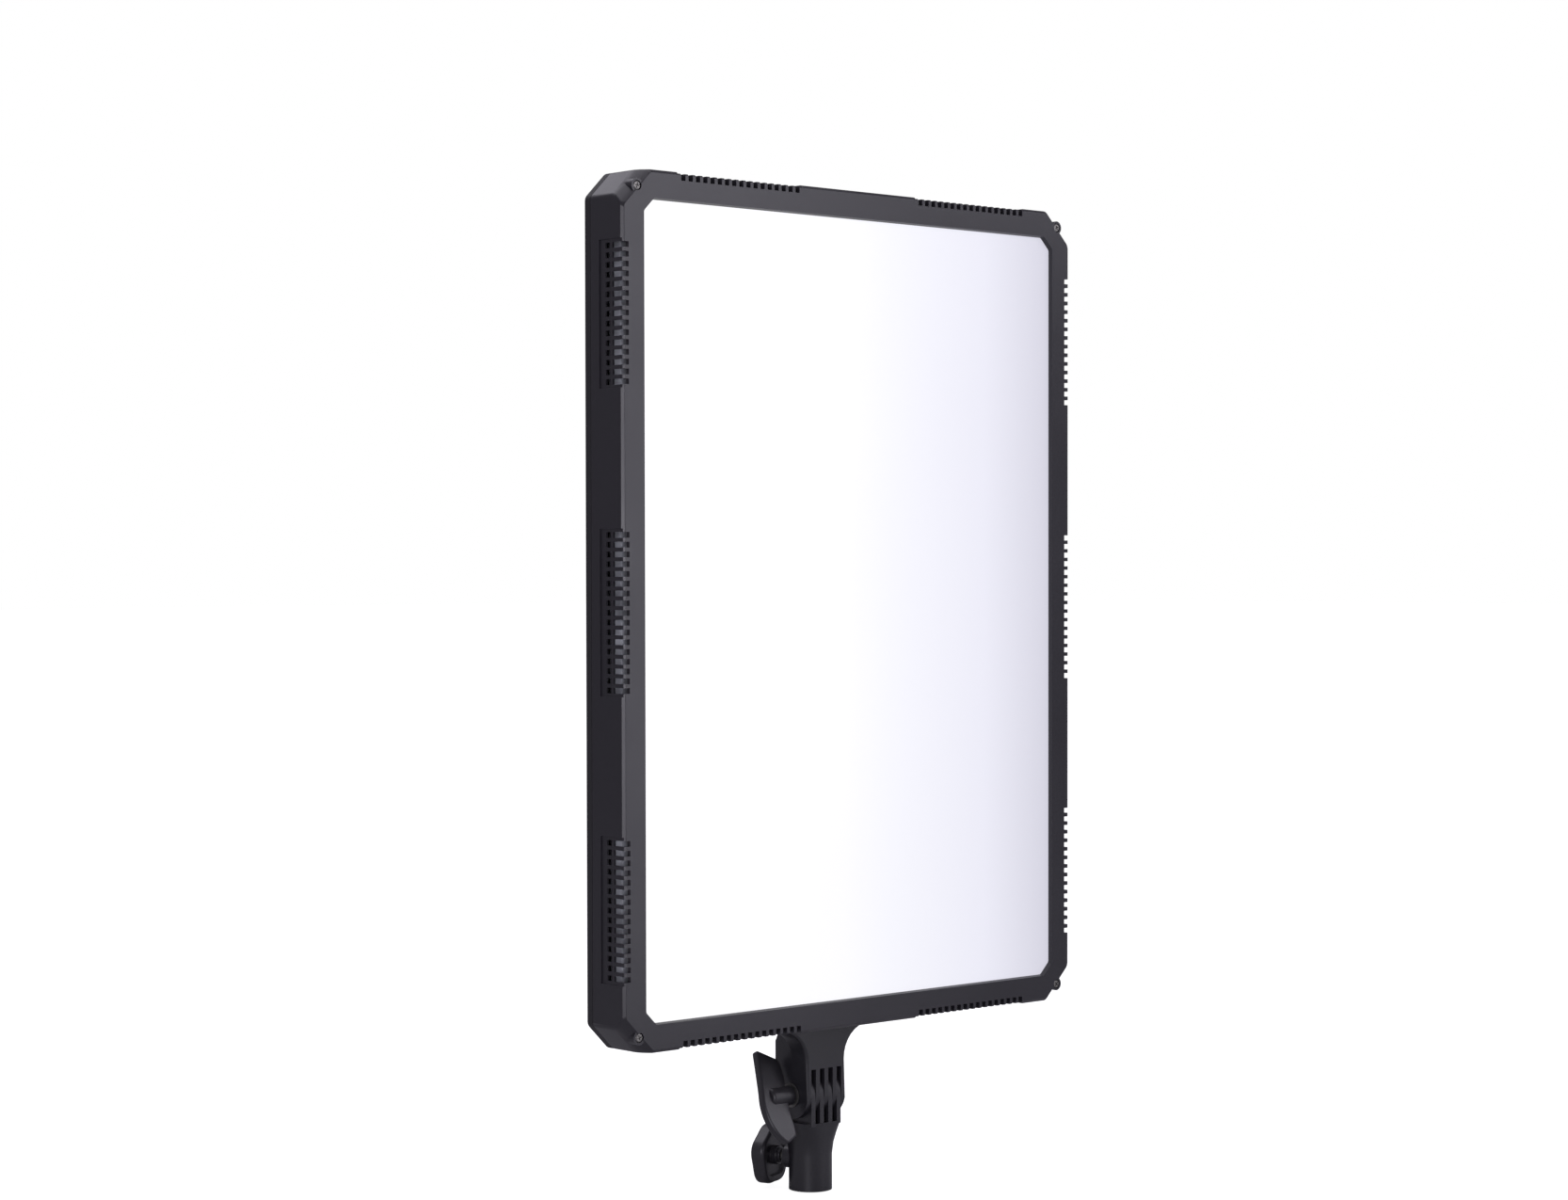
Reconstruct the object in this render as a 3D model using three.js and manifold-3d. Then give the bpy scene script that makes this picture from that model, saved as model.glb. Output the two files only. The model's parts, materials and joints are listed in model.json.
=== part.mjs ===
// LED panel light on a tilting stand head.
//
// Units are millimetres and +Z is up. X runs across the panel, and the lit face looks along -Y.
// The origin is the middle of the stand socket's mouth, on the socket's bore axis.
// The panel head is drawn about its own centre, with its face in the plane y = 0.
// The tilt joint is drawn about the tilt axis, which runs along X.

import * as THREE from 'three';
import { mergeVertices } from 'three/addons/utils/BufferGeometryUtils.js';
import Module from 'manifold-3d';

const wasm = await Module();
wasm.setup();

// ---------------------------------------------------------------- driving sizes

const gap = 0.3;                    // clearance between pieces that touch

// Panel head
const panelWidth = 441.4;
const panelHeight = 602;
const shellDepth = 34;              // lit face to the seam
const coverDepth = 7.2;             // seam to the flat back of the rear cover
const wall = 2.4;
const faceThickness = 3;
const border = 19.4;                // width of the face around the opening
const openingChamfer = 9;
const openingTaper = 1.2;           // the opening narrows by this much on each side
const cornerChamfer = 18;
const faceCornerChamfer = 24.5;     // the corners are cut further back at the face
const cornerBlendDepth = 9;         // the face's corner cut fades out over this depth
const cornerRound = 2;
const edgeBevel = 2;
const coverBevel = 1.5;
const lipThickness = 2;             // a lip on the rear cover locates it inside the shell
const lipLength = 5;
const coverWeld = 0.5;              // how far the cover's posts and ribs sink into its floor
const coverRibThickness = 3;
const coverRibHalf = 12;

// Vents around the edge
const slotPitch = 6.6;
const slotWidth = 3.9;
const slotReach = 5.8;              // how far a slot runs in across the face
const slotBack = 19;                // how far a slot runs back down the side
const slotBarFront = 11.5;          // a cross bar splits each slot in two
const slotBarBack = 14;
const recessDepth = 1;
const recessBack = 25;
const recessMargin = 1;
const sideSlotCounts = [15, 17, 15];
const sideVentSpacing = 202.6;
const endSlotCount = 17;
const endVentOffset = 113.6;

// Light engine
const diffuserThickness = 2;
const filmThickness = 0.4;
const guideThickness = 4;
const trayThickness = 1.5;
const stripThickness = 1.6;
const ledHeight = 0.7;
const ledWidth = 3;
const ledPitch = 20;
const stripMargin = 0.5;            // the strip and its rail stand this far proud of the guide plate
const railThickness = 2.5;
const railDepth = 19;
const finLength = 5.5;
const finThickness = 1.5;
const finPitch = 5.5;
const flangeLength = 28;
const railRibSpacing = 190;
const railRibInset = 6;
const railScrewInset = 14;

// Small screws
const cornerScrewSide = 13.8;       // corner screw's axis to the panel's side
const cornerScrewEnd = 11.8;        // corner screw's axis to the panel's top or bottom
const cornerBossRadius = 5;
const bossFront = 0.6;              // front of the corner screw bosses
const screwRadius = 1.5;
const screwHeadRadius = 3.1;
const screwHeadHeight = 2;
const screwSides = 12;              // of the holes and shanks

// Electronics pod on the back
const podWidth = 200;
const podRise = 79;                 // panel's lower edge up to the pod's lower edge
const podHeight = 284;
const podBottom = podRise - panelHeight / 2;
const podTop = podBottom + podHeight;
const podDepth = 29;
const podChamfer = 16;
const podLip = 4;
const podPostRadius = 4.5;
const podScrewInset = 12;
const podVentCount = 7;
const podVentPitch = 7;
const podVentTop = podTop - 134;
const podVentHalf = 42;
const podVentSlot = 3;
const windowLedge = 2;
const windowThickness = 1.2;
const cableWindow = 36;             // side of the square hole that the leads pass through
const cableLow = podBottom + 102;
const boardThickness = 1.6;
const controlsHeight = podTop - 54; // the row with the display and the knobs
const knobOffset = 60;
const knobRadius = 11;
const knobLength = 13;
const knobTravel = 0.6;
const bushingRadius = 3.5;
const shaftRadius = 3;
const shaftInKnob = 7;
const encoderSide = 12;
const buttonOffset = 17;
const buttonDrop = 36;
const buttonWidth = 15;
const buttonHeight = 8;
const buttonTravel = 0.8;
const buttonFlange = 1.4;
const displayWidth = 62;
const displayHeight = 36;
const powerRowHeight = podBottom + 36;
const rockerOffset = 52;
const rockerWidth = 19;
const rockerHeight = 12;
const rockerBodyWidth = 23;
const rockerBodyHeight = 15;
const rockerBodyDepth = 16;
const rockerWell = 7;
const flangeRim = 2.5;
const flangeThickness = 1.6;
const inletOffset = -52;
const inletRadius = 9.5;
const inletWall = 2;
const inletDepth = 19;
const inletSocket = 12;
const pinRadius = 0.9;
const pinCircle = 3.6;

// Tilt joint
const faceToAxis = 54.5;            // lit face to the tilt axis and the socket's bore axis
const hingeDrop = 55;               // panel's lower edge down to the tilt axis
const neckWidth = 37.8;
const barrelRadius = 17.5;
const leafCount = 9;                // five leaves on the panel's side, four on the stand's
const slotRoot = 20;                // depth of the gaps between leaves, from the tilt axis
const flareRadius = 24;
const flareStart = 25;
const padWidth = 92;
const padHeight = 62;
const padThickness = 11.7;
const padCut = 8;
const tiltBoltRadius = 4;
const washerThickness = 1;
const washerRadius = 9;
const boltHeadRadius = 7.2;
const boltHeadHeight = 5.3;
const leverHubRadius = 7.2;
const leverHubLength = 21;
const leverThickness = 7;
const leverLean = 27;               // degrees back from upright
const leverBevel = 1.4;
// The lever's fin: distance out from the neck's side, and distance along the lever.
const leverOuterEdge = [
  [19.5, -36], [24.1, -31.8], [27.7, -26.4], [30.1, -20], [31.3, -11.5],
  [30.7, -3], [28.4, 6], [25.7, 18], [23.1, 30], [21.7, 36.6],
];
const leverInnerEdge = [
  [10.6, 36.4], [4.9, 27.6], [3.5, 23], [3.7, 14], [5.5, 6],
  [7.3, -6], [8.5, -16], [8.5, -25], [9.7, -31.4],
];
const leverInsertRadius = 5.4;
const leverInsertLength = 11;
const gussetStart = 38;
const gussetEnd = 74;
const yokeScrewRadius = 2.5;
const yokeHeadRadius = 4.5;
const yokeHeadHeight = 3.5;
const yokeScrewSide = 12;           // screw's axis to the pad's side
const yokeScrewEnd = 15;            // screw's axis to the pad's top or bottom
const backingThickness = 2.8;
const backingMargin = 2;

// Stand socket
const hingeHeight = 71;             // socket mouth up to the tilt axis
const socketRadius = 16;
const boreRadius = 8.25;            // for a 16 mm stand spigot
const boreDepth = 42;
const mouthBevel = 1;
const collarDepth = 25;
const lockHeight = 22.5;
const lockAzimuth = 111;            // degrees from +X, so the knob points back and to the left
const lockBossRadius = 8.5;
const lockBossReach = 19.5;
const lockScrewRadius = 4;
const lockKnobRadius = 22.5;
const lockKnobStart = 28;
const lockKnobThickness = 11;
const lockKnobDepth = 0.05;         // how deep the dips between lobes are, as a share of the radius
const lockHubStep = 1.6;
const lockHubRadius = 7;
const lockHubReach = 23.2;
const lockKnobLobes = 5;
const lockInsertRadius = 5.5;
const lockInsertStart = 12;

// ---------------------------------------------------------------- worked-out places

const halfWidth = panelWidth / 2;
const halfHeight = panelHeight / 2;
const openingHalfWidth = halfWidth - border;
const openingHalfHeight = halfHeight - border;
const coverFront = shellDepth + gap;
const coverBack = coverFront + coverDepth;
const coverFloor = coverBack - wall;
const neckHalf = neckWidth / 2;
const leafPitch = neckWidth / leafCount;
const screwX = halfWidth - cornerScrewSide;
const screwZ = halfHeight - cornerScrewEnd;
const cornerScrewTip = coverBack - 1.6;
const headCentre = hingeDrop + halfHeight;

// The optical stack, front to back
const diffuserFront = faceThickness + gap;
const filmFront = diffuserFront + diffuserThickness + gap;
const guideFront = filmFront + filmThickness + gap;
const reflectorFront = guideFront + guideThickness + gap;
const trayFront = reflectorFront + filmThickness + gap;
const trayBack = trayFront + trayThickness;
const diffuserHalfWidth = openingHalfWidth + 5;
const diffuserHalfHeight = openingHalfHeight + 5;
const guideHalfWidth = openingHalfWidth + 1;
const guideHalfHeight = openingHalfHeight + 4.5;
const stripInner = guideHalfWidth + gap + ledHeight;
const stripOuter = stripInner + stripThickness;
const railInner = stripOuter + gap;
const railFlangeBack = trayBack + gap + railThickness;
const railScrewX = railInner - railScrewInset;
const railScrewZ = 0.8 * guideHalfHeight;
const railRibX = railInner - flangeLength + railRibInset;

// The pod and its controls, seen from behind
const buttonRow = controlsHeight - buttonDrop;
const podFront = coverBack + gap;
const podBack = podFront + podDepth;
const podFloor = podBack - wall;
const podMiddle = (podTop + podBottom) / 2;
const podScrewSeat = podBack - 0.5;
const podScrewTip = coverFront + 1;
const podScrewX = podWidth / 2 - podScrewInset;
const podScrewPlaces = [
  [-podScrewX, podTop - podScrewInset], [podScrewX, podTop - podScrewInset],
  [-podScrewX, podBottom + podScrewInset], [podScrewX, podBottom + podScrewInset],
];
const controlBack = podFloor - 6.4;
const controlFront = controlBack - boardThickness;
const windowFront = podBack - windowThickness;
const shaftFront = controlBack + 2.2;
const bushingEnd = podBack + 0.5;
const knobFront = bushingEnd + knobTravel + 2 * gap;
const shaftEnd = knobFront + shaftInKnob;
const flangeFront = podBack + gap;
const driverFront = coverBack + 5;
const driverLow = podBottom + 62;
const driverHigh = podBottom + 164;
const driverPostPlaces = [
  [-74, driverLow + 6], [74, driverLow + 6], [-74, driverHigh - 6], [74, driverHigh - 6],
];
const driverParts = [
  [-52, driverLow + 76, 22, 22, 12], [-22, driverLow + 76, 22, 22, 12],
  [16, driverLow + 72, 30, 14, 9], [56, driverLow + 76, 20, 18, 10],
  [-48, driverLow + 28, 34, 26, 8], [4, driverLow + 30, 26, 26, 5], [50, driverLow + 28, 30, 24, 11],
];
const controlParts = [
  [-38, controlsHeight - 38, 14, 10, 3], [40, controlsHeight - 36, 10, 10, 2],
  [60, controlsHeight + 18, 9, 5, 3],
];

// The tilt joint, measured from its axis
const padFront = coverBack + gap - faceToAxis;
const yokeScrewX = padWidth / 2 - yokeScrewSide;
const yokeScrewLow = -halfHeight + yokeScrewEnd;
const yokeScrewHigh = -halfHeight + padHeight - yokeScrewEnd;
const yokeScrewPlaces = [
  [-yokeScrewX, yokeScrewLow], [yokeScrewX, yokeScrewLow],
  [-yokeScrewX, yokeScrewHigh], [yokeScrewX, yokeScrewHigh],
];
const backingFront = coverFloor - gap - backingThickness;
const leverHubStart = neckHalf + washerThickness + 2 * gap;
const leverHubEnd = leverHubStart + leverHubLength;
const leverInsertStart = leverHubStart + 5;
const leverInsertEnd = leverInsertStart + leverInsertLength;
const boltEnd = leverInsertEnd + 1;
const lockScrewEnd = lockKnobStart + lockKnobThickness - 4;

// ---------------------------------------------------------------- materials

function finish(color, roughness, metalness = 0) {
  return new THREE.MeshStandardMaterial({ color, roughness, metalness });
}

const shellPlastic = finish(0x2b2a31, 0.55);
const podPlastic = finish(0x232329, 0.6);
const headPlastic = finish(0x242429, 0.45);
const knobPlastic = finish(0x1d1c20, 0.5);
const opalAcrylic = finish(0xf4f4fb, 0.5);
const clearAcrylic = finish(0xe6ecf0, 0.1);
const filmWhite = finish(0xf7f7f7, 0.8);
const bareAluminium = finish(0xb9bcc0, 0.4, 1);
const zincSteel = finish(0xa9a8a4, 0.35, 1);
const brass = finish(0xb58a3e, 0.35, 1);
const boardGreen = finish(0x1f4f38, 0.6);
const displayBlack = finish(0x101114, 0.3);
const portMetal = finish(0x8b8d90, 0.4, 1);

// ---------------------------------------------------------------- solids

function toSolid(geometry) {
  const bare = geometry.index ? geometry.toNonIndexed() : geometry.clone();
  for (const name of Object.keys(bare.attributes)) {
    if (name !== 'position') bare.deleteAttribute(name);
  }
  const merged = mergeVertices(bare, 1e-4);
  const mesh = new wasm.Mesh({
    numProp: 3,
    vertProperties: Float32Array.from(merged.attributes.position.array),
    triVerts: Uint32Array.from(merged.index.array),
  });
  return new wasm.Manifold(mesh);
}

function toGeometry(solid) {
  const mesh = solid.getMesh();
  const geometry = new THREE.BufferGeometry();
  geometry.setAttribute('position', new THREE.BufferAttribute(mesh.vertProperties, 3));
  geometry.setIndex(new THREE.BufferAttribute(mesh.triVerts, 1));
  return geometry;
}

function join(...geometries) {
  return geometries.map(toSolid).reduce((whole, part) => whole.add(part));
}

function cut(solid, geometries) {
  return geometries.map(toSolid).reduce((whole, tool) => whole.subtract(tool), solid);
}

function place(parent, name, shape, material) {
  const geometry = shape instanceof THREE.BufferGeometry ? shape : toGeometry(shape);
  geometry.computeVertexNormals();
  const mesh = new THREE.Mesh(geometry, material);
  mesh.name = name;
  parent.add(mesh);
  return mesh;
}

// ---------------------------------------------------------------- shapes

function block(x0, x1, y0, y1, z0, z1) {
  const box = new THREE.BoxGeometry(x1 - x0, y1 - y0, z1 - z0);
  return box.translate((x0 + x1) / 2, (y0 + y1) / 2, (z0 + z1) / 2);
}

// A cylinder along Y, centred on (x, z).
function rodY(radius, y0, y1, x, z, sides = 18) {
  const rod = new THREE.CylinderGeometry(radius, radius, y1 - y0, sides);
  return rod.translate(x, (y0 + y1) / 2, z);
}

// A cylinder along X through the tilt axis.
function rodX(radius, x0, x1, sides = 24) {
  const rod = new THREE.CylinderGeometry(radius, radius, x1 - x0, sides);
  return rod.rotateZ(Math.PI / 2).translate((x0 + x1) / 2, 0, 0);
}

// An outline in X and Z, made into a plate from y0 to y1.
function plate(points, y0, y1) {
  const shape = new THREE.Shape(points.map(([x, z]) => new THREE.Vector2(x, z)));
  const slab = new THREE.ExtrudeGeometry(shape, { depth: y1 - y0, bevelEnabled: false });
  return slab.rotateX(Math.PI / 2).translate(0, y1, 0);
}

// An outline in Y and Z, made into a bar from x0 to x1.
function bar(points, x0, x1) {
  const shape = new THREE.Shape(points.map(([y, z]) => new THREE.Vector2(y, z)));
  const slab = new THREE.ExtrudeGeometry(shape, { depth: x1 - x0, bevelEnabled: false });
  return slab.rotateY(Math.PI / 2).rotateX(Math.PI / 2).translate(x0, 0, 0);
}

// An outline in X and Y, made into a rail from z0 to z1.
function rail(points, z0, z1) {
  const shape = new THREE.Shape(points.map(([x, y]) => new THREE.Vector2(x, y)));
  const slab = new THREE.ExtrudeGeometry(shape, { depth: z1 - z0, bevelEnabled: false });
  return slab.translate(0, 0, z0);
}

// Cross-sections with the same number of points, joined into a closed skin.
// Each section is a ring of Vector3, anticlockwise as seen from the last section.
function loft(sections) {
  const count = sections[0].length;
  const positions = sections.flat().flatMap((p) => [p.x, p.y, p.z]);
  const index = [];
  for (let s = 0; s < sections.length - 1; s += 1) {
    for (let i = 0; i < count; i += 1) {
      const a = s * count + i;
      const b = s * count + ((i + 1) % count);
      index.push(a, b, b + count, a, b + count, a + count);
    }
  }
  const last = (sections.length - 1) * count;
  for (let i = 1; i < count - 1; i += 1) {
    index.push(0, i + 1, i);
    index.push(last, last + i, last + i + 1);
  }
  const skin = new THREE.BufferGeometry();
  skin.setAttribute('position', new THREE.Float32BufferAttribute(positions, 3));
  skin.setIndex(index);
  return skin;
}

// A rectangle with cut corners, each of its eight corners rounded by three points.
function cutRectangle(hw, hh, chamfer, round, centreZ = 0) {
  const corners = [
    [hw, hh - chamfer], [hw - chamfer, hh], [chamfer - hw, hh], [-hw, hh - chamfer],
    [-hw, chamfer - hh], [chamfer - hw, -hh], [hw - chamfer, -hh], [hw, chamfer - hh],
  ];
  const points = [];
  corners.forEach((corner, i) => {
    const before = new THREE.Vector2(...corners[(i + 7) % 8]);
    const after = new THREE.Vector2(...corners[(i + 1) % 8]);
    const here = new THREE.Vector2(...corner);
    const reach = Math.min(round, here.distanceTo(before) / 3, here.distanceTo(after) / 3);
    const into = here.clone().add(before.sub(here).setLength(reach));
    const out = here.clone().add(after.sub(here).setLength(reach));
    const middle = into.clone().add(out).multiplyScalar(0.5).lerp(here, 0.42);
    points.push(into, middle, out);
  });
  return points.map((p) => [p.x, p.y + centreZ]);
}

// Cut rectangles at several depths: each step is [y, half width, half height, chamfer].
function taperedCase(steps, round, centreZ = 0) {
  return loft(steps.map(([y, hw, hh, chamfer]) => (
    cutRectangle(hw, hh, chamfer, round, centreZ).map(([x, z]) => new THREE.Vector3(x, y, z)).reverse()
  )));
}

// ---------------------------------------------------------------- groups

const light = new THREE.Group();
const head = new THREE.Group();
const joint = new THREE.Group();
head.position.set(0, -faceToAxis, hingeHeight + hingeDrop + halfHeight);
joint.position.set(0, 0, hingeHeight);
light.add(head, joint);

// ---------------------------------------------------------------- front shell

function slotPositions(count) {
  return Array.from({ length: count }, (_, i) => (i - (count - 1) / 2) * slotPitch);
}

// One vent: a shallow recess round the edge, and slots that a cross bar may split.
// It is drawn on the side at x = edge, then moved along and turned about the panel's middle.
function ventTools(edge, count, along, turn, barred) {
  const reach = count * slotPitch / 2 + recessMargin;
  const inner = edge - slotReach;
  const tools = [block(edge - recessDepth, edge + 1, -1, recessBack, -reach, reach)];
  for (const z of slotPositions(count)) {
    const low = z - slotWidth / 2;
    const high = z + slotWidth / 2;
    tools.push(block(inner, edge + 1, -1, barred ? slotBarFront : slotBack, low, high));
    if (barred) tools.push(block(inner, edge + 1, slotBarBack, slotBack, low, high));
  }
  return tools.map((tool) => tool.translate(0, 0, along).rotateY(turn));
}

function ventRow(turn, edge, counts, spacing, barred) {
  return counts.flatMap((count, i) => (
    ventTools(edge, count, (i - (counts.length - 1) / 2) * spacing, turn, barred)
  ));
}

// The case outline at a depth behind the face, set in by a margin.
function caseStep(y, inset) {
  const blend = Math.min(Math.max((y - edgeBevel) / cornerBlendDepth, 0), 1);
  const chamfer = cornerChamfer + (faceCornerChamfer - cornerChamfer) * (1 - blend) ** 1.5;
  return [y, halfWidth - inset, halfHeight - inset, chamfer - inset * (2 - Math.SQRT2)];
}

const cornerPlaces = [
  ['top_left', -screwX, screwZ],
  ['top_right', screwX, screwZ],
  ['bottom_left', -screwX, -screwZ],
  ['bottom_right', screwX, -screwZ],
];

function makeFrontShell() {
  const depths = [edgeBevel, 4, 7, edgeBevel + cornerBlendDepth, shellDepth];
  const outer = taperedCase([caseStep(0, edgeBevel), ...depths.map((y) => caseStep(y, 0))], cornerRound);
  const innerDepths = [faceThickness, 7, edgeBevel + cornerBlendDepth, shellDepth + 1];
  const inner = taperedCase(innerDepths.map((y) => caseStep(y, wall)), cornerRound);
  const opening = taperedCase([
    [-1, openingHalfWidth, openingHalfHeight, openingChamfer],
    [0, openingHalfWidth, openingHalfHeight, openingChamfer],
    [
      faceThickness + 1, openingHalfWidth - openingTaper,
      openingHalfHeight - openingTaper, openingChamfer,
    ],
  ], 1);
  let shell = cut(toSolid(outer), [inner]);
  for (const [, x, z] of cornerPlaces) {
    shell = shell.add(toSolid(rodY(cornerBossRadius, bossFront, shellDepth, x, z)));
  }
  const screwHoles = cornerPlaces.flatMap(([, x, z]) => [
    rodY(screwHeadRadius + gap, bossFront - 1, bossFront + screwHeadHeight + gap, x, z),
    screwHole(screwRadius, 0, shellDepth + 1, x, z),
  ]);
  const ends = [endSlotCount, endSlotCount];
  return cut(shell, [
    opening,
    ...screwHoles,
    ...ventRow(0, halfWidth, sideSlotCounts, sideVentSpacing, true),
    ...ventRow(Math.PI, halfWidth, sideSlotCounts, sideVentSpacing, true),
    ...ventRow(-Math.PI / 2, halfHeight, ends, 2 * endVentOffset, false),
    ...ventRow(Math.PI / 2, halfHeight, ends, 2 * endVentOffset, false),
  ]);
}

// A pan-head screw along Y: its head starts at y = seat and faces -Y, or +Y when turned round.
function screw(x, z, seat, length, radius, headRadius, headHeight, facing = -1) {
  const headEnd = seat - facing * headHeight;
  const tip = headEnd - facing * length;
  const overlap = 0.2;
  const cap = rodY(headRadius, Math.min(seat, headEnd), Math.max(seat, headEnd), x, z, 14);
  const shankLow = Math.min(headEnd, tip) - overlap;
  const shankHigh = Math.max(headEnd, tip) + overlap;
  const shank = rodY(radius, shankLow, shankHigh, x, z, screwSides);
  const driveDepth = headHeight * 0.6;
  const driveLow = facing < 0 ? seat - 1 : seat - driveDepth;
  const driveHigh = facing < 0 ? seat + driveDepth : seat + 1;
  return cut(join(cap, shank), [rodY(headRadius / 2, driveLow, driveHigh, x, z, 6)]);
}

function screwHole(radius, y0, y1, x, z) {
  return rodY(radius + gap, y0, y1, x, z, screwSides);
}

function makeRearCover() {
  const outer = taperedCase([
    caseStep(coverFront, 0),
    caseStep(coverBack - coverBevel, 0),
    caseStep(coverBack, coverBevel),
  ], cornerRound);
  const inner = taperedCase([caseStep(coverFront - 1, wall), caseStep(coverFloor, wall)], cornerRound);
  const weldEnd = coverFloor + coverWeld;
  const lipFront = shellDepth - lipLength;
  const lipMiddle = wall + gap + lipThickness / 2;
  const clear = cornerChamfer + 12;
  const added = [];
  for (const side of [-1, 1]) {
    const x = side * (halfWidth - lipMiddle);
    const z = side * (halfHeight - lipMiddle);
    const t = lipThickness / 2;
    const spanX = halfWidth - clear;
    const spanZ = halfHeight - clear;
    added.push(block(x - t, x + t, lipFront, weldEnd, -spanZ, spanZ));
    added.push(block(-spanX, spanX, lipFront, weldEnd, z - t, z + t));
    const ribLow = side * railRibX - coverRibThickness / 2;
    const ribHigh = ribLow + coverRibThickness;
    for (const ribZ of [-railRibSpacing, 0, railRibSpacing]) {
      const low = ribZ - coverRibHalf;
      const high = ribZ + coverRibHalf;
      added.push(block(ribLow, ribHigh, railFlangeBack + gap, weldEnd, low, high));
    }
  }
  for (const [, x, z] of cornerPlaces) {
    added.push(rodY(cornerBossRadius - 2 * gap, coverFront, weldEnd, x, z));
  }
  for (const [x, z] of podScrewPlaces) {
    added.push(rodY(podPostRadius, coverFront, weldEnd, x, z, screwSides));
  }
  for (const [x, z] of driverPostPlaces) {
    added.push(rodY(podPostRadius - 1, weldEnd, driverFront - gap, x, z, screwSides));
  }
  const cover = added.map(toSolid).reduce((whole, part) => whole.add(part), cut(toSolid(outer), [inner]));
  const behind = coverBack + 1;
  return cut(cover, [
    ...cornerPlaces.map(([, x, z]) => screwHole(screwRadius, coverFront - 1, cornerScrewTip + gap, x, z)),
    ...podScrewPlaces.map(([x, z]) => screwHole(screwRadius, coverFront - 1, behind, x, z)),
    ...yokeScrewPlaces.map(([x, z]) => screwHole(yokeScrewRadius, coverFront - 1, behind, x, z)),
    block(-cableWindow / 2, cableWindow / 2, coverFloor - 1, behind, cableLow, cableLow + cableWindow),
  ]);
}

place(head, 'front_shell', makeFrontShell(), shellPlastic);
place(head, 'rear_cover', makeRearCover(), shellPlastic);
for (const [corner, x, z] of cornerPlaces) {
  const length = cornerScrewTip - bossFront - screwHeadHeight;
  const solid = screw(x, z, bossFront, length, screwRadius, screwHeadRadius, screwHeadHeight);
  place(head, `corner_screw_${corner}`, solid, zincSteel);
}

// ---------------------------------------------------------------- light engine

// A flat sheet of the optical stack, with cut corners like the opening's.
function sheet(halfX, halfZ, front, thickness) {
  return plate(cutRectangle(halfX, halfZ, openingChamfer, 1), front, front + thickness);
}

function sideBlock(side, inner, outer, y0, y1, z0, z1) {
  const low = Math.min(side * inner, side * outer);
  const high = Math.max(side * inner, side * outer);
  return block(low, high, y0, y1, z0, z1);
}

function makeLedStrip(side) {
  const halfLength = guideHalfHeight - 6;
  const stripFront = guideFront - stripMargin;
  const stripBack = guideFront + guideThickness + stripMargin;
  const middle = guideFront + guideThickness / 2;
  const half = ledWidth / 2;
  const count = Math.floor(2 * halfLength / ledPitch);
  const parts = [sideBlock(side, stripInner, stripOuter, stripFront, stripBack, -halfLength, halfLength)];
  for (let i = 0; i < count; i += 1) {
    const z = (i - (count - 1) / 2) * ledPitch;
    const led = [stripInner - ledHeight, stripInner + 0.2, middle - half, middle + half, z - half, z + half];
    parts.push(sideBlock(side, ...led));
  }
  return join(...parts);
}

// The rail is an angle with two fins: it holds the strip on edge and spreads its heat.
function makeHeatRail(side) {
  const web = railInner + railThickness;
  const front = guideFront - stripMargin;
  const back = front + railDepth;
  const flangeFront = trayBack + gap;
  const flangeEdge = railInner - flangeLength;
  const finTip = web + finLength;
  const fin = back - finPitch;
  const outline = [
    [railInner, front], [web, front], [web, fin - finThickness], [finTip, fin - finThickness],
    [finTip, fin], [web, fin], [web, back - finThickness], [finTip, back - finThickness],
    [finTip, back], [railInner, back], [railInner, railFlangeBack],
    [flangeEdge, railFlangeBack], [flangeEdge, flangeFront], [railInner, flangeFront],
  ];
  const points = outline.map(([x, y]) => [side * x, y]);
  if (side < 0) points.reverse();
  const halfLength = guideHalfHeight - 4;
  const holes = [-railScrewZ, railScrewZ].map((z) => (
    screwHole(screwRadius, flangeFront - 1, railFlangeBack + 1, side * railScrewX, z)
  ));
  return cut(toSolid(rail(points, -halfLength, halfLength)), holes);
}

function makeTray() {
  const tray = sheet(guideHalfWidth, guideHalfHeight, trayFront, trayThickness);
  const holes = [-railScrewX, railScrewX].flatMap((x) => [-railScrewZ, railScrewZ].map((z) => (
    screwHole(screwRadius, trayFront - 1, trayBack + 1, x, z)
  )));
  return cut(toSolid(tray), holes);
}

const diffuser = sheet(diffuserHalfWidth, diffuserHalfHeight, diffuserFront, diffuserThickness);
const film = sheet(guideHalfWidth, guideHalfHeight, filmFront, filmThickness);
const guide = sheet(guideHalfWidth, guideHalfHeight, guideFront, guideThickness);
const reflector = sheet(guideHalfWidth, guideHalfHeight, reflectorFront, filmThickness);
place(head, 'diffuser', diffuser, opalAcrylic);
place(head, 'diffusion_film', film, filmWhite);
place(head, 'light_guide_plate', guide, clearAcrylic);
place(head, 'reflector_sheet', reflector, filmWhite);
place(head, 'chassis_tray', makeTray(), bareAluminium);
for (const [hand, side] of [['left', -1], ['right', 1]]) {
  place(head, `led_strip_${hand}`, makeLedStrip(side), boardGreen);
  place(head, `heat_rail_${hand}`, makeHeatRail(side), bareAluminium);
  const x = side * railScrewX;
  const seat = railFlangeBack + gap + screwHeadHeight;
  const length = seat - screwHeadHeight - trayFront - gap;
  for (const [end, z] of [['upper', railScrewZ], ['lower', -railScrewZ]]) {
    const solid = screw(x, z, seat, length, screwRadius, screwHeadRadius, screwHeadHeight, 1);
    place(head, `rail_screw_${hand}_${end}`, solid, zincSteel);
  }
}

// ---------------------------------------------------------------- electronics pod

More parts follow.
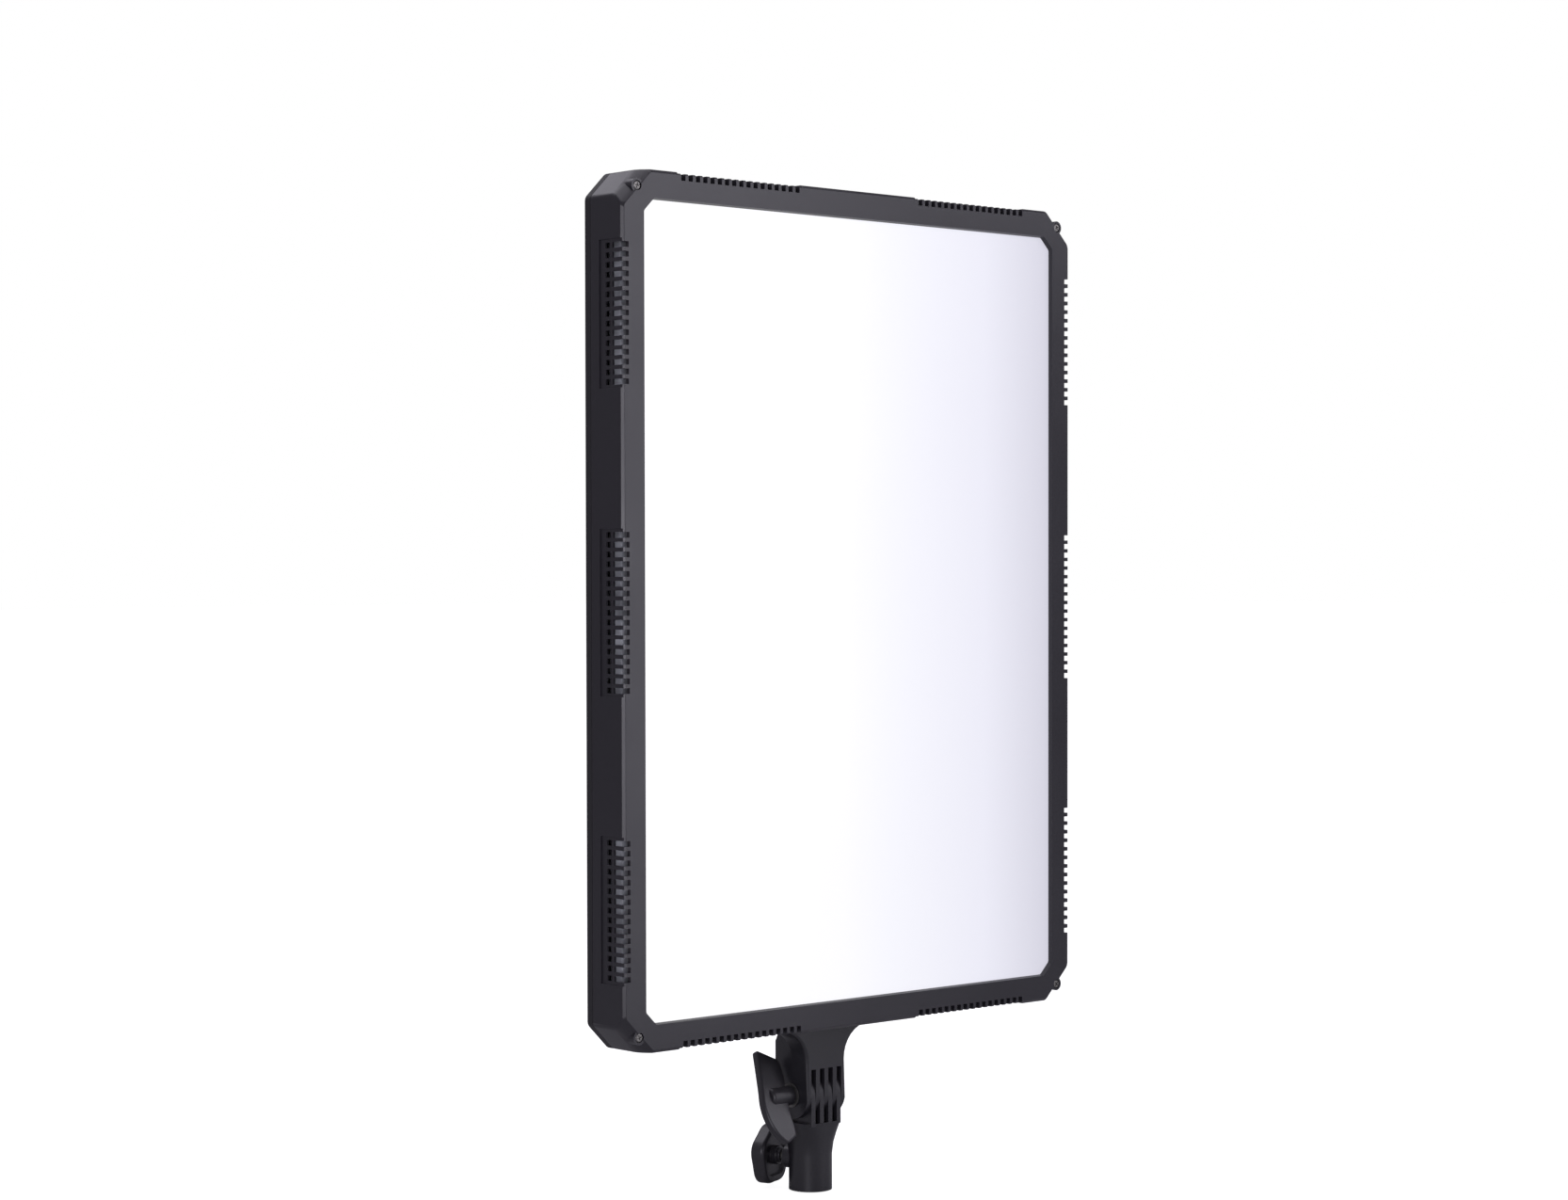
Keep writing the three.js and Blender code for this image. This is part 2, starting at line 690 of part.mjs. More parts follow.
function podCase(y0, y1, inset) {
  const halfX = podWidth / 2 - inset;
  const halfZ = (podTop - podBottom) / 2 - inset;
  const chamfer = podChamfer - inset * (2 - Math.SQRT2);
  return taperedCase([
    [y0, halfX, halfZ, chamfer],
    [y1 - podLip, halfX, halfZ, chamfer],
    [y1, halfX - podLip, halfZ - podLip, chamfer],
  ], cornerRound, podMiddle);
}

// A straight hole through the pod's back, centred on (x, z).
function podHole(x, z, width, height, from = podFloor - 1, to = podBack + 1) {
  return block(x - width / 2, x + width / 2, from, to, z - height / 2, z + height / 2);
}

function makePod() {
  const outer = podCase(podFront, podBack, 0);
  const inner = podCase(podFront - 1, podFloor, wall);
  const posts = podScrewPlaces.map(([x, z]) => (
    rodY(podPostRadius, podFront, podBack - 1, x, z, screwSides)
  ));
  const pod = posts.map(toSolid).reduce((whole, post) => whole.add(post), cut(toSolid(outer), [inner]));
  const screwHoles = podScrewPlaces.flatMap(([x, z]) => [
    screwHole(screwRadius, podFront - 1, podBack + 1, x, z),
    rodY(screwHeadRadius + gap, podScrewSeat - screwHeadHeight - gap, podBack + 1, x, z),
  ]);
  const viewWidth = displayWidth - 2 * windowLedge;
  const viewHeight = displayHeight - 2 * windowLedge;
  const seatWidth = displayWidth + 2 * gap;
  const seatHeight = displayHeight + 2 * gap;
  const knobHoles = [-knobOffset, knobOffset].map((x) => (
    rodY(bushingRadius + gap, podFloor - 1, podBack + 1, x, controlsHeight)
  ));
  const buttonHoles = [-buttonOffset, buttonOffset].map((x) => (
    podHole(x, buttonRow, buttonWidth + 2 * gap, buttonHeight + 2 * gap)
  ));
  const vents = Array.from({ length: podVentCount }, (_, i) => (
    podHole(0, podVentTop - i * podVentPitch, 2 * podVentHalf, podVentSlot)
  ));
  return cut(pod, [
    ...screwHoles, ...knobHoles, ...buttonHoles, ...vents,
    podHole(0, controlsHeight, seatWidth, seatHeight, windowFront - gap),
    podHole(0, controlsHeight, viewWidth, viewHeight),
    podHole(rockerOffset, powerRowHeight, rockerBodyWidth + 2 * gap, rockerBodyHeight + 2 * gap),
    rodY(inletRadius + gap, podFloor - 1, podBack + 1, inletOffset, powerRowHeight, 32),
  ]);
}

// A board with its tall parts, each given as [x, z, width, height, standing].
function board(x0, x1, z0, z1, front, parts) {
  const back = front + boardThickness;
  const blocks = parts.map(([x, z, w, h, tall]) => (
    podHole(x, z, w, h, back - 0.2, back + tall)
  ));
  return join(block(x0, x1, front, back, z0, z1), ...blocks);
}

function makeEncoder(x) {
  const back = podFloor - gap;
  const body = podHole(x, controlsHeight, encoderSide, encoderSide, controlBack + gap, back);
  const bushing = rodY(bushingRadius, back - 0.2, bushingEnd, x, controlsHeight);
  const floor = shaftFront - gap - knobTravel;
  return cut(join(body, bushing), [rodY(shaftRadius + gap, floor, bushingEnd + 1, x, controlsHeight)]);
}

// The knob narrows a little towards its end, which has a dip for a fingertip.
function makeKnob(x) {
  const grip = new THREE.CylinderGeometry(knobRadius - 0.6, knobRadius, knobLength, 36);
  const body = grip.translate(x, knobFront + knobLength / 2, controlsHeight);
  const end = knobFront + knobLength;
  const bore = rodY(shaftRadius + gap, knobFront - 1, shaftEnd + gap, x, controlsHeight);
  const dip = rodY(knobRadius / 5, end - 0.8, end + 1, x + knobRadius * 0.55, controlsHeight, 16);
  return cut(toSolid(body), [bore, dip]);
}

function makeButton(x) {
  const flangeBack = podFloor - gap;
  const flangeFrom = flangeBack - buttonFlange;
  const flange = podHole(x, buttonRow, buttonWidth + 3, buttonHeight + 3, flangeFrom, flangeBack);
  const cap = podHole(x, buttonRow, buttonWidth, buttonHeight, flangeBack - 0.5, podBack + 2);
  return join(flange, cap);
}

// The small switch that the button presses, one travel below it.
function makeTactSwitch(x) {
  const top = podFloor - gap - buttonFlange - buttonTravel - gap;
  const base = podHole(x, buttonRow, 6, 6, controlBack + gap, top - 0.8);
  return join(base, rodY(screwRadius, top - 1, top, x, buttonRow, screwSides));
}

function makeRockerBody() {
  const x = rockerOffset;
  const z = powerRowHeight;
  const rimWidth = rockerBodyWidth + 2 * flangeRim;
  const rimHeight = rockerBodyHeight + 2 * flangeRim;
  const rimBack = flangeFront + flangeThickness;
  const wellWidth = rockerWidth + 4 * gap;
  const wellHeight = rockerHeight + 2 * gap;
  const bodyFront = podBack - rockerBodyDepth;
  const body = podHole(x, z, rockerBodyWidth, rockerBodyHeight, bodyFront, flangeFront + 0.2);
  const rim = podHole(x, z, rimWidth, rimHeight, flangeFront, rimBack);
  return cut(join(body, rim), [podHole(x, z, wellWidth, wellHeight, podBack - rockerWell, rimBack + 1)]);
}

// The rocker's top is a shallow V, so one end stands up while the other is level with the frame.
function makeRocker() {
  const x = rockerOffset;
  const half = rockerWidth / 2;
  const top = flangeFront + flangeThickness;
  const outline = [
    [x - half, top + 2.4], [x - half + 1, top - 3.4], [x, podBack - 5.6],
    [x + half - 1, top - 3.4], [x + half, top + 0.4], [x, top + 0.2],
  ];
  return rail(outline, powerRowHeight - rockerHeight / 2, powerRowHeight + rockerHeight / 2);
}

function makeInlet() {
  const x = inletOffset;
  const z = powerRowHeight;
  const rimBack = flangeFront + flangeThickness;
  const barrel = rodY(inletRadius, podBack - inletDepth, flangeFront + 0.2, x, z, 32);
  const rim = rodY(inletRadius + flangeRim, flangeFront, rimBack, x, z, 32);
  const socket = rodY(inletRadius - inletWall, podBack - inletSocket, rimBack + 1, x, z, 32);
  const pins = [45, 135, 225, 315].map((degrees) => {
    const angle = THREE.MathUtils.degToRad(degrees);
    const pinX = x + pinCircle * Math.cos(angle);
    const pinZ = z + pinCircle * Math.sin(angle);
    return rodY(pinRadius, podBack - inletSocket - 0.5, podBack - inletWall, pinX, pinZ, 10);
  });
  return pins.map(toSolid).reduce((whole, pin) => whole.add(pin), cut(join(barrel, rim), [socket]));
}

place(head, 'control_pod', makePod(), podPlastic);
podScrewPlaces.forEach(([x, z], i) => {
  const length = podScrewSeat - screwHeadHeight - podScrewTip;
  const solid = screw(x, z, podScrewSeat, length, screwRadius, screwHeadRadius, screwHeadHeight, 1);
  place(head, `pod_screw_${i + 1}`, solid, zincSteel);
});
const driverBoard = board(-80, 80, driverLow, driverHigh, driverFront, driverParts);
const controlBoard = board(-78, 78, controlsHeight - 46, controlsHeight + 26, controlFront, controlParts);
const moduleWidth = displayWidth - 2 * gap;
const moduleHeight = displayHeight - 2 * gap;
const moduleFront = controlBack + gap;
const moduleBack = podFloor - gap;
const displayModule = podHole(0, controlsHeight, moduleWidth, moduleHeight, moduleFront, moduleBack);
place(head, 'driver_board', driverBoard, boardGreen);
place(head, 'control_board', controlBoard, boardGreen);
place(head, 'display_module', displayModule, displayBlack);
const displayPane = podHole(0, controlsHeight, displayWidth, displayHeight, windowFront, podBack);
place(head, 'display_window', displayPane, clearAcrylic);
for (const [use, side] of [['dimmer', -1], ['colour', 1]]) {
  const x = side * knobOffset;
  place(head, `${use}_encoder`, makeEncoder(x), zincSteel);
  place(head, `${use}_shaft`, rodY(shaftRadius, shaftFront, shaftEnd, x, controlsHeight), zincSteel);
  place(head, `${use}_knob`, makeKnob(x), knobPlastic);
}
for (const [use, side] of [['mode', -1], ['channel', 1]]) {
  place(head, `${use}_switch`, makeTactSwitch(side * buttonOffset), zincSteel);
  place(head, `${use}_button`, makeButton(side * buttonOffset), knobPlastic);
}
place(head, 'rocker_switch_body', makeRockerBody(), knobPlastic);
place(head, 'power_rocker', makeRocker(), knobPlastic);
place(head, 'dc_inlet', makeInlet(), portMetal);

// ---------------------------------------------------------------- tilt joint

function arc(cy, cz, radius, from, to, steps) {
  return Array.from({ length: steps + 1 }, (_, i) => {
    const angle = THREE.MathUtils.degToRad(from + (to - from) * i / steps);
    return [cy + radius * Math.cos(angle), cz + radius * Math.sin(angle)];
  });
}

// Leaf number k of nine, counted from the left; neighbours are a clearance apart.
function leafSpan(k) {
  const low = -neckHalf + k * leafPitch;
  return [low + gap / 2, low + leafPitch - gap / 2];
}

function makeYoke() {
  const underPanel = hingeDrop - gap;
  const padBack = padFront + padThickness;
  const padTop = hingeDrop + padHeight;
  const neck = bar([
    ...arc(0, 0, barrelRadius, 180, 360, 14),
    [barrelRadius, gussetStart], [padBack, gussetEnd], [padBack, padTop - padCut],
    [padFront, padTop - padCut], [padFront, underPanel], [-barrelRadius, underPanel],
  ], -neckHalf, neckHalf);
  const outward = arc(neckHalf + flareRadius, flareStart, flareRadius, 180, 90, 8);
  const rightEdge = [
    [neckHalf, 0], ...outward, [padWidth / 2, flareStart + flareRadius],
    [padWidth / 2, padTop - padCut], [padWidth / 2 - padCut, padTop],
  ];
  const leftEdge = rightEdge.map(([x, z]) => [-x, z]).reverse();
  const flare = plate([...rightEdge, ...leftEdge], -barrelRadius, padBack);
  const behindPanel = block(-padWidth, padWidth, -barrelRadius - 1, padFront, underPanel, padTop + 1);
  const reach = barrelRadius + 1;
  const slots = [1, 3, 5, 7].map((k) => {
    const [low, high] = leafSpan(k);
    return block(low - gap, high + gap, -reach, reach, -reach, slotRoot);
  });
  const boltHole = rodX(tiltBoltRadius + gap, -neckHalf - 1, neckHalf + 1);
  const screwHoles = yokeScrewPlaces.map(([x, z]) => (
    screwHole(yokeScrewRadius, padFront - 1, padBack + 1, x, z + headCentre)
  ));
  return cut(join(neck, flare), [behindPanel, ...slots, boltHole, ...screwHoles]);
}

// The lever is a flat fin on a round hub, with a bowed outer edge and bevelled rims.
function makeLever() {
  const points = [...leverOuterEdge, ...leverInnerEdge];
  const outline = points.map(([out, along]) => [-neckHalf - out, along]);
  const shape = new THREE.Shape(outline.map(([x, z]) => new THREE.Vector2(x, z)));
  const fin = new THREE.ExtrudeGeometry(shape, {
    depth: leverThickness - 2 * leverBevel,
    bevelThickness: leverBevel,
    bevelSize: leverBevel,
    bevelOffset: -leverBevel,
    bevelSegments: 1,
  });
  fin.rotateX(Math.PI / 2).translate(0, leverThickness / 2 - leverBevel, 0);
  const hub = rodX(leverHubRadius, -leverHubEnd, -leverHubStart, 28);
  const bore = rodX(tiltBoltRadius + gap, -boltEnd - gap, 0);
  const pocket = rodX(leverInsertRadius + gap, -leverInsertEnd - gap, -leverInsertStart + gap);
  const lean = (geometry) => geometry.rotateX(-THREE.MathUtils.degToRad(leverLean));
  return cut(join(lean(fin), hub), [bore, pocket]);
}

function makeTiltBolt() {
  const headStart = leverHubStart;
  const shank = rodX(tiltBoltRadius, -boltEnd, headStart + 0.2);
  return join(shank, rodX(boltHeadRadius, headStart, headStart + boltHeadHeight, 6));
}

function washerAt(x0) {
  const disc = rodX(washerRadius, x0, x0 + washerThickness);
  return cut(toSolid(disc), [rodX(tiltBoltRadius + gap, x0 - 1, x0 + washerThickness + 1)]);
}

function makeBackingPlate() {
  const halfX = padWidth / 2 - backingMargin;
  const low = -halfHeight + 3 * backingMargin;
  const high = -halfHeight + padHeight - 2 * backingMargin;
  const slab = block(-halfX, halfX, backingFront, coverFloor - gap, low, high);
  return cut(toSolid(slab), yokeScrewPlaces.map(([x, z]) => (
    screwHole(yokeScrewRadius, backingFront - 1, coverFloor + 1, x, z)
  )));
}

place(joint, 'tilt_yoke', makeYoke(), headPlastic);
place(joint, 'tilt_bolt', makeTiltBolt(), zincSteel);
place(joint, 'bolt_washer', washerAt(neckHalf + gap), zincSteel);
place(joint, 'lever_washer', washerAt(-neckHalf - gap - washerThickness), zincSteel);
place(joint, 'tilt_lever', makeLever(), knobPlastic);
const insertBody = rodX(leverInsertRadius, -leverInsertEnd, -leverInsertStart);
const insertBore = rodX(tiltBoltRadius + gap, -leverInsertEnd - 1, -leverInsertStart + 1);
place(joint, 'lever_insert', cut(toSolid(insertBody), [insertBore]), brass);
place(head, 'yoke_backing_plate', makeBackingPlate(), zincSteel);
yokeScrewPlaces.forEach(([x, z], i) => {
  const seat = faceToAxis + padFront + padThickness + gap + yokeHeadHeight;
  const length = seat - yokeHeadHeight - backingFront + 1;
  const solid = screw(x, z, seat, length, yokeScrewRadius, yokeHeadRadius, yokeHeadHeight, 1);
  place(head, `yoke_screw_${i + 1}`, solid, zincSteel);
});

// ---------------------------------------------------------------- stand socket

// A rounded square, from a circle (power 2) towards a box (higher), around the bore axis.
function socketRing(halfX, halfY, power, z) {
  const sides = 28;
  return Array.from({ length: sides }, (_, i) => {
    const angle = i / sides * 2 * Math.PI;
    const c = Math.cos(angle);
    const s = Math.sin(angle);
    const r = ((Math.abs(c) / halfX) ** power + (Math.abs(s) / halfY) ** power) ** (-1 / power);
    return new THREE.Vector3(r * c, r * s, z);
  });
}

// A cylinder that runs out from the bore axis, at the lock knob's height and direction.
function lockRod(radius, from, to, sides = 24) {
  const rod = new THREE.CylinderGeometry(radius, radius, to - from, sides);
  rod.rotateZ(-Math.PI / 2).translate((from + to) / 2, 0, 0);
  return rod.rotateZ(THREE.MathUtils.degToRad(lockAzimuth)).translate(0, 0, lockHeight);
}

function makeReceiver() {
  const collar = hingeHeight - slotRoot;
  const flare = collar - collarDepth;
  const steps = [0, 0.35, 0.6, 0.8, 1];
  const rings = [socketRing(socketRadius, socketRadius, 2, 0)];
  for (const t of steps) {
    const grow = t ** 2;
    const halfX = socketRadius + (neckHalf - socketRadius) * grow;
    const halfY = socketRadius + (barrelRadius + 0.5 - socketRadius) * grow;
    rings.push(socketRing(halfX, halfY, 2 + 3 * grow, flare + t * (collar - flare)));
  }
  let receiver = toSolid(loft(rings));
  const leafRadius = barrelRadius - gap;
  const leafFoot = collar - 2 - hingeHeight;
  const profile = [...arc(0, 0, leafRadius, 0, 180, 12), [-leafRadius, leafFoot], [leafRadius, leafFoot]];
  for (const k of [1, 3, 5, 7]) {
    const leaf = bar(profile, ...leafSpan(k)).translate(0, 0, hingeHeight);
    receiver = receiver.add(toSolid(leaf));
  }
  receiver = receiver.add(toSolid(lockRod(lockBossRadius, 0, lockBossReach)));
  const bore = new THREE.CylinderGeometry(boreRadius, boreRadius, boreDepth + 1, 32);
  bore.rotateX(Math.PI / 2).translate(0, 0, (boreDepth - 1) / 2);
  const leadIn = new THREE.CylinderGeometry(boreRadius + mouthBevel + 1, boreRadius, mouthBevel + 1, 32);
  leadIn.rotateX(-Math.PI / 2).translate(0, 0, (mouthBevel - 1) / 2);
  const boltHole = rodX(tiltBoltRadius + gap, -neckHalf, neckHalf).translate(0, 0, hingeHeight);
  return cut(receiver, [
    bore, leadIn, boltHole,
    lockRod(lockScrewRadius + gap, 0, lockInsertStart + 1),
    lockRod(lockInsertRadius + gap, lockInsertStart - gap, lockBossReach + 1),
  ]);
}

// The knob is a shallow five-lobed star, on a stepped hub that carries the lock screw.
function makeLockKnob() {
  const points = [];
  const samples = lockKnobLobes * 8;
  for (let i = 0; i < samples; i += 1) {
    const angle = i / samples * 2 * Math.PI;
    const wave = Math.cos(lockKnobLobes * (angle - Math.PI / 2));
    const r = lockKnobRadius * (1 - lockKnobDepth * (1 - wave));
    points.push([r * Math.cos(angle), r * Math.sin(angle)]);
  }
  const grip = plate(points, 0, lockKnobThickness).rotateZ(-Math.PI / 2).translate(lockKnobStart, 0, 0);
  grip.rotateZ(THREE.MathUtils.degToRad(lockAzimuth)).translate(0, 0, lockHeight);
  const hub = lockRod(lockHubRadius, lockHubReach + 2, lockKnobStart + 1);
  const neck = lockRod(lockHubRadius - lockHubStep, lockHubReach, lockKnobStart + 1);
  const bore = lockRod(lockScrewRadius + gap, lockHubReach - 1, lockScrewEnd + gap);
  return cut(join(grip, hub, neck), [bore]);
}

place(light, 'stand_receiver', makeReceiver(), headPlastic);
place(light, 'lock_insert', cut(
  toSolid(lockRod(lockInsertRadius, lockInsertStart, lockBossReach - gap)),
  [lockRod(lockScrewRadius + gap, lockInsertStart - 1, lockBossReach + 1)],
), brass);
place(light, 'pressure_pad', lockRod(lockScrewRadius, boreRadius + 0.2, boreRadius + 2.2), brass);
place(light, 'lock_screw', lockRod(lockScrewRadius, boreRadius + 2.5, lockScrewEnd), zincSteel);
place(light, 'stand_lock_knob', makeLockKnob(), knobPlastic);

export default light;
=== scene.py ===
# %% [markdown]
# # LED panel light on a tilting stand head
#
# The light is a slim upright case with an opal diffuser, vents all round its edge, a control pod on its
# back, and a head that tilts on a light stand. Its sizes come from the CAD model, which is loaded first
# and never changed. Each look is then built round it: some CAD pieces only get a better finish, and the
# ones that the eye rests on are modelled again with rounded edges.

# %% Load the CAD frame
import json
import math

import bpy
from mathutils import Euler, Matrix, Vector


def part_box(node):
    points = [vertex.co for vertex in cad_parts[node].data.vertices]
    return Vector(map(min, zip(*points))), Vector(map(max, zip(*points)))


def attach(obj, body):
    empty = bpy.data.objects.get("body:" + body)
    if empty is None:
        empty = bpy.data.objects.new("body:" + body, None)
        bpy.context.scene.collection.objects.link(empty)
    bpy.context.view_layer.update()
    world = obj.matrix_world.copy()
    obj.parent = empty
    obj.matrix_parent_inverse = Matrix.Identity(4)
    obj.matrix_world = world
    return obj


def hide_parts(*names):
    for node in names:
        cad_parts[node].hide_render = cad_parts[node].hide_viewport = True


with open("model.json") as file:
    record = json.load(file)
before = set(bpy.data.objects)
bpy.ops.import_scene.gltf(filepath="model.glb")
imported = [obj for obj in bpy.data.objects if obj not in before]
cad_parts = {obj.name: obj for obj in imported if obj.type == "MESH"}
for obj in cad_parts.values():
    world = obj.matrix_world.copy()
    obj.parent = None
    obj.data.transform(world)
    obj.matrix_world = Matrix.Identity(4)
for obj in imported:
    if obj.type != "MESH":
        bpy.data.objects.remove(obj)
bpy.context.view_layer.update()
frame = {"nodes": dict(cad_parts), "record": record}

MM = 0.001
TILT_AXIS = Vector((0.0, 0.0, 71 * MM))

# %% [markdown]
# ## Camera
# The light is seen from its left front, a little above its middle. A long lens from over two metres
# keeps the case's edges almost parallel. The frame is moved up by a lens shift and not by tilting the
# camera, so upright edges stay upright.

# %% Camera
def add_camera():
    data = bpy.data.cameras.new("studio_camera")
    data.lens = 73.08
    data.sensor_width = 36.0
    data.shift_y = 0.0268
    camera = bpy.data.objects.new("studio_camera", data)
    bpy.context.scene.collection.objects.link(camera)
    aim = Euler((math.radians(88.65), 0.0, math.radians(-42.04))).to_matrix().to_4x4()
    roll = Matrix.Rotation(math.radians(-0.1), 4, "Z")
    camera.matrix_world = Matrix.Translation((-1.5788, -1.7229, 0.4579)) @ aim @ roll
    bpy.context.scene.camera = camera
    return camera


camera = add_camera()
print("camera at", [round(v, 3) for v in camera.location])

# %% [markdown]
# ## Helpers for modelling
# Operators act on whatever is selected, so each helper first clears the selection and picks its own
# piece. `select_where` opens a piece in edit mode and selects the vertices, edges or faces that pass a test,
# such as their place.

# %% Selecting and editing
def pick(piece):
    bpy.ops.object.select_all(action="DESELECT")
    piece.select_set(True)
    bpy.context.view_layer.objects.active = piece
    return piece


def select_where(piece, kind, test):
    """Selects the vertices, edges or faces of a piece whose data passes a test, and says how many."""
    pick(piece)
    bpy.ops.object.mode_set(mode="EDIT")
    bpy.ops.mesh.select_mode(type=kind)
    bpy.ops.mesh.select_all(action="DESELECT")
    bpy.ops.object.mode_set(mode="OBJECT")
    mesh = piece.data
    items = {"VERT": mesh.vertices, "EDGE": mesh.edges, "FACE": mesh.polygons}[kind]
    chosen = 0
    for item in items:
        item.select = bool(test(item))
        chosen += item.select
    bpy.ops.object.mode_set(mode="EDIT")
    return chosen


def leave_edit():
    bpy.ops.object.mode_set(mode="OBJECT")


def edge_ends(piece, edge):
    return [piece.data.vertices[i].co for i in edge.vertices]


def apply_modifier(piece, kind, **settings):
    pick(piece)
    modifier = piece.modifiers.new(kind.lower(), kind)
    for key, value in settings.items():
        setattr(modifier, key, value)
    bpy.ops.object.modifier_apply(modifier=modifier.name)


def round_edges(piece, width, segments=2, angle=35):
    """Rounds every edge that turns by more than an angle."""
    apply_modifier(
        piece, "BEVEL", width=width, segments=segments, limit_method="ANGLE",
        angle_limit=math.radians(angle), miter_outer="MITER_ARC", use_clamp_overlap=True,
    )


def round_chosen_edges(piece, width, segments, angle, where, clamp=True):
    """Rounds the edges whose two ends pass a test, if they turn by more than an angle."""
    mesh = piece.data
    normals = {}
    for face in mesh.polygons:
        for key in face.edge_keys:
            normals.setdefault(key, []).append(face.normal.copy())
    weights = mesh.attributes.new("bevel_weight_edge", "FLOAT", "EDGE")
    for edge in mesh.edges:
        sides = normals[edge.key]
        bent = len(sides) == 2 and sides[0].angle(sides[1]) > math.radians(angle)
        a, b = edge_ends(piece, edge)
        weights.data[edge.index].value = float(bent and where(a, b))
    chosen = sum(weight.value > 0 for weight in weights.data)
    apply_modifier(
        piece, "BEVEL", width=width, segments=segments, limit_method="WEIGHT",
        use_clamp_overlap=clamp,
    )
    piece.data.attributes.remove(piece.data.attributes["bevel_weight_edge"])
    return chosen


def smooth(piece, angle=38):
    """Shades a piece smooth up to an angle; large flat faces then keep their own normal."""
    pick(piece)
    bpy.ops.object.shade_smooth_by_angle(angle=math.radians(angle))
    apply_modifier(piece, "WEIGHTED_NORMAL", keep_sharp=True, weight=80)


def boolean(piece, other, operation):
    apply_modifier(piece, "BOOLEAN", object=other, operation=operation, solver="EXACT")
    bpy.data.objects.remove(other)


def settle(piece):
    """Applies a piece's place, turn and size to its mesh, so that its object sits at the origin."""
    pick(piece)
    bpy.ops.object.transform_apply(location=True, rotation=True, scale=True)


def outward(piece):
    select_where(piece, "FACE", lambda face: True)
    bpy.ops.mesh.remove_doubles(threshold=0.01 * MM)
    bpy.ops.mesh.normals_make_consistent(inside=False)
    leave_edit()


def box_middle(node):
    low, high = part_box(node)
    return (low + high) / 2


def box_size(node):
    low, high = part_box(node)
    return high - low


def hand_over(piece, body, slot, material, *nodes):
    """Gives a finished piece its finish, hangs it on its body's empty, and hides the CAD nodes that it
    stands for.
    """
    piece.data.materials.clear()
    piece.data.materials.append(material)
    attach(piece, body)
    if nodes:
        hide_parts(*nodes)
    return piece


# %% [markdown]
# ## Helper for dressing a CAD piece
# Many mouldings already have the right shape, but their edges are knife sharp and their round parts are
# faceted. A copy of the CAD mesh is merged, flat neighbours become one face, and its edges get a small
# radius. The copy then stands for the CAD piece.

# %% Copy of a CAD piece
def copy_of(node, name):
    piece = frame["nodes"][node].copy()
    piece.data = frame["nodes"][node].data.copy()
    piece.parent = None
    for key in list(piece.keys()):
        if key.startswith("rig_"):
            del piece[key]
    piece.name = name
    piece.data.name = name
    bpy.context.scene.collection.objects.link(piece)
    if piece.data.has_custom_normals:
        pick(piece)
        bpy.ops.mesh.customdata_custom_splitnormals_clear()
    select_where(piece, "VERT", lambda vertex: True)
    bpy.ops.mesh.remove_doubles(threshold=0.005 * MM)
    bpy.ops.mesh.dissolve_limited(angle_limit=math.radians(0.3))
    leave_edit()
    return piece


def dress(node, name, radius, segments=2, angle=35, smooth_angle=38):
    piece = copy_of(node, name)
    if radius:
        round_edges(piece, radius, segments, angle)
    smooth(piece, smooth_angle)
    print(name, "has", len(piece.data.polygons), "faces")
    return piece


# %% [markdown]
# ## Shared surface effects
# Real mouldings are never one flat colour: the mould is spark eroded to a fine grain, hands polish the
# edges, and dust settles on top. The edges are also made lighter as a painted highlight. These effects
# are node groups, so that every plastic shares them with its own amounts. A group only puts out colours,
# values and heights; the shader stays in the material.

# %% Building a node group
def start_group(name, inputs, outputs):
    group = bpy.data.node_groups.new(name, "ShaderNodeTree")
    for label, kind, value in inputs:
        socket = group.interface.new_socket(label, in_out="INPUT", socket_type=kind)
        socket.default_value = value
    for label, kind in outputs:
        group.interface.new_socket(label, in_out="OUTPUT", socket_type=kind)
    start = group.nodes.new("NodeGroupInput")
    end = group.nodes.new("NodeGroupOutput")
    return group, start, end


def math_node(tree, operation, a, b, clamp=False):
    node = tree.nodes.new("ShaderNodeMath")
    node.operation = operation
    node.use_clamp = clamp
    for socket, value in zip(node.inputs, (a, b)):
        if isinstance(value, (int, float)):
            socket.default_value = value
        else:
            tree.links.new(value, socket)
    return node.outputs[0]


def mix_colour(tree, factor, a, b, blend="MIX"):
    node = tree.nodes.new("ShaderNodeMix")
    node.data_type = "RGBA"
    node.blend_type = blend
    for socket, value in ((node.inputs[0], factor), (node.inputs[6], a), (node.inputs[7], b)):
        if isinstance(value, (int, float)):
            socket.default_value = value
        elif isinstance(value, tuple):
            socket.default_value = value
        else:
            tree.links.new(value, socket)
    return node.outputs[2]


def spread(tree, value, low, high, out_low=0.0, out_high=1.0):
    node = tree.nodes.new("ShaderNodeMapRange")
    tree.links.new(value, node.inputs["Value"])
    for label, number in (("From Min", low), ("From Max", high), ("To Min", out_low), ("To Max", out_high)):
        if isinstance(number, (int, float)):
            node.inputs[label].default_value = number
        else:
            tree.links.new(number, node.inputs[label])
    return node.outputs["Result"]


def noise(tree, scale, detail=2.0, roughness=0.5, stretch=None):
    place = tree.nodes.new("ShaderNodeTexCoord").outputs["Object"]
    if stretch:
        mapping = tree.nodes.new("ShaderNodeMapping")
        mapping.inputs["Scale"].default_value = stretch
        tree.links.new(place, mapping.inputs["Vector"])
        place = mapping.outputs["Vector"]
    node = tree.nodes.new("ShaderNodeTexNoise")
    tree.links.new(place, node.inputs["Vector"])
    node.inputs["Detail"].default_value = detail
    node.inputs["Roughness"].default_value = roughness
    if isinstance(scale, (int, float)):
        node.inputs["Scale"].default_value = scale
    else:
        tree.links.new(scale, node.inputs["Scale"])
    return node.outputs["Fac"]


# %% [markdown]
# ### Moulded grain
# A black moulding has a fine pebbled grain, about a third of a millimetre across, and its colour and
# gloss drift slightly over a hand's breadth. Two noises do both: the fine one makes the height and the
# gloss, the broad one the drift. An image texture could do this too, but it would have to be unwrapped.

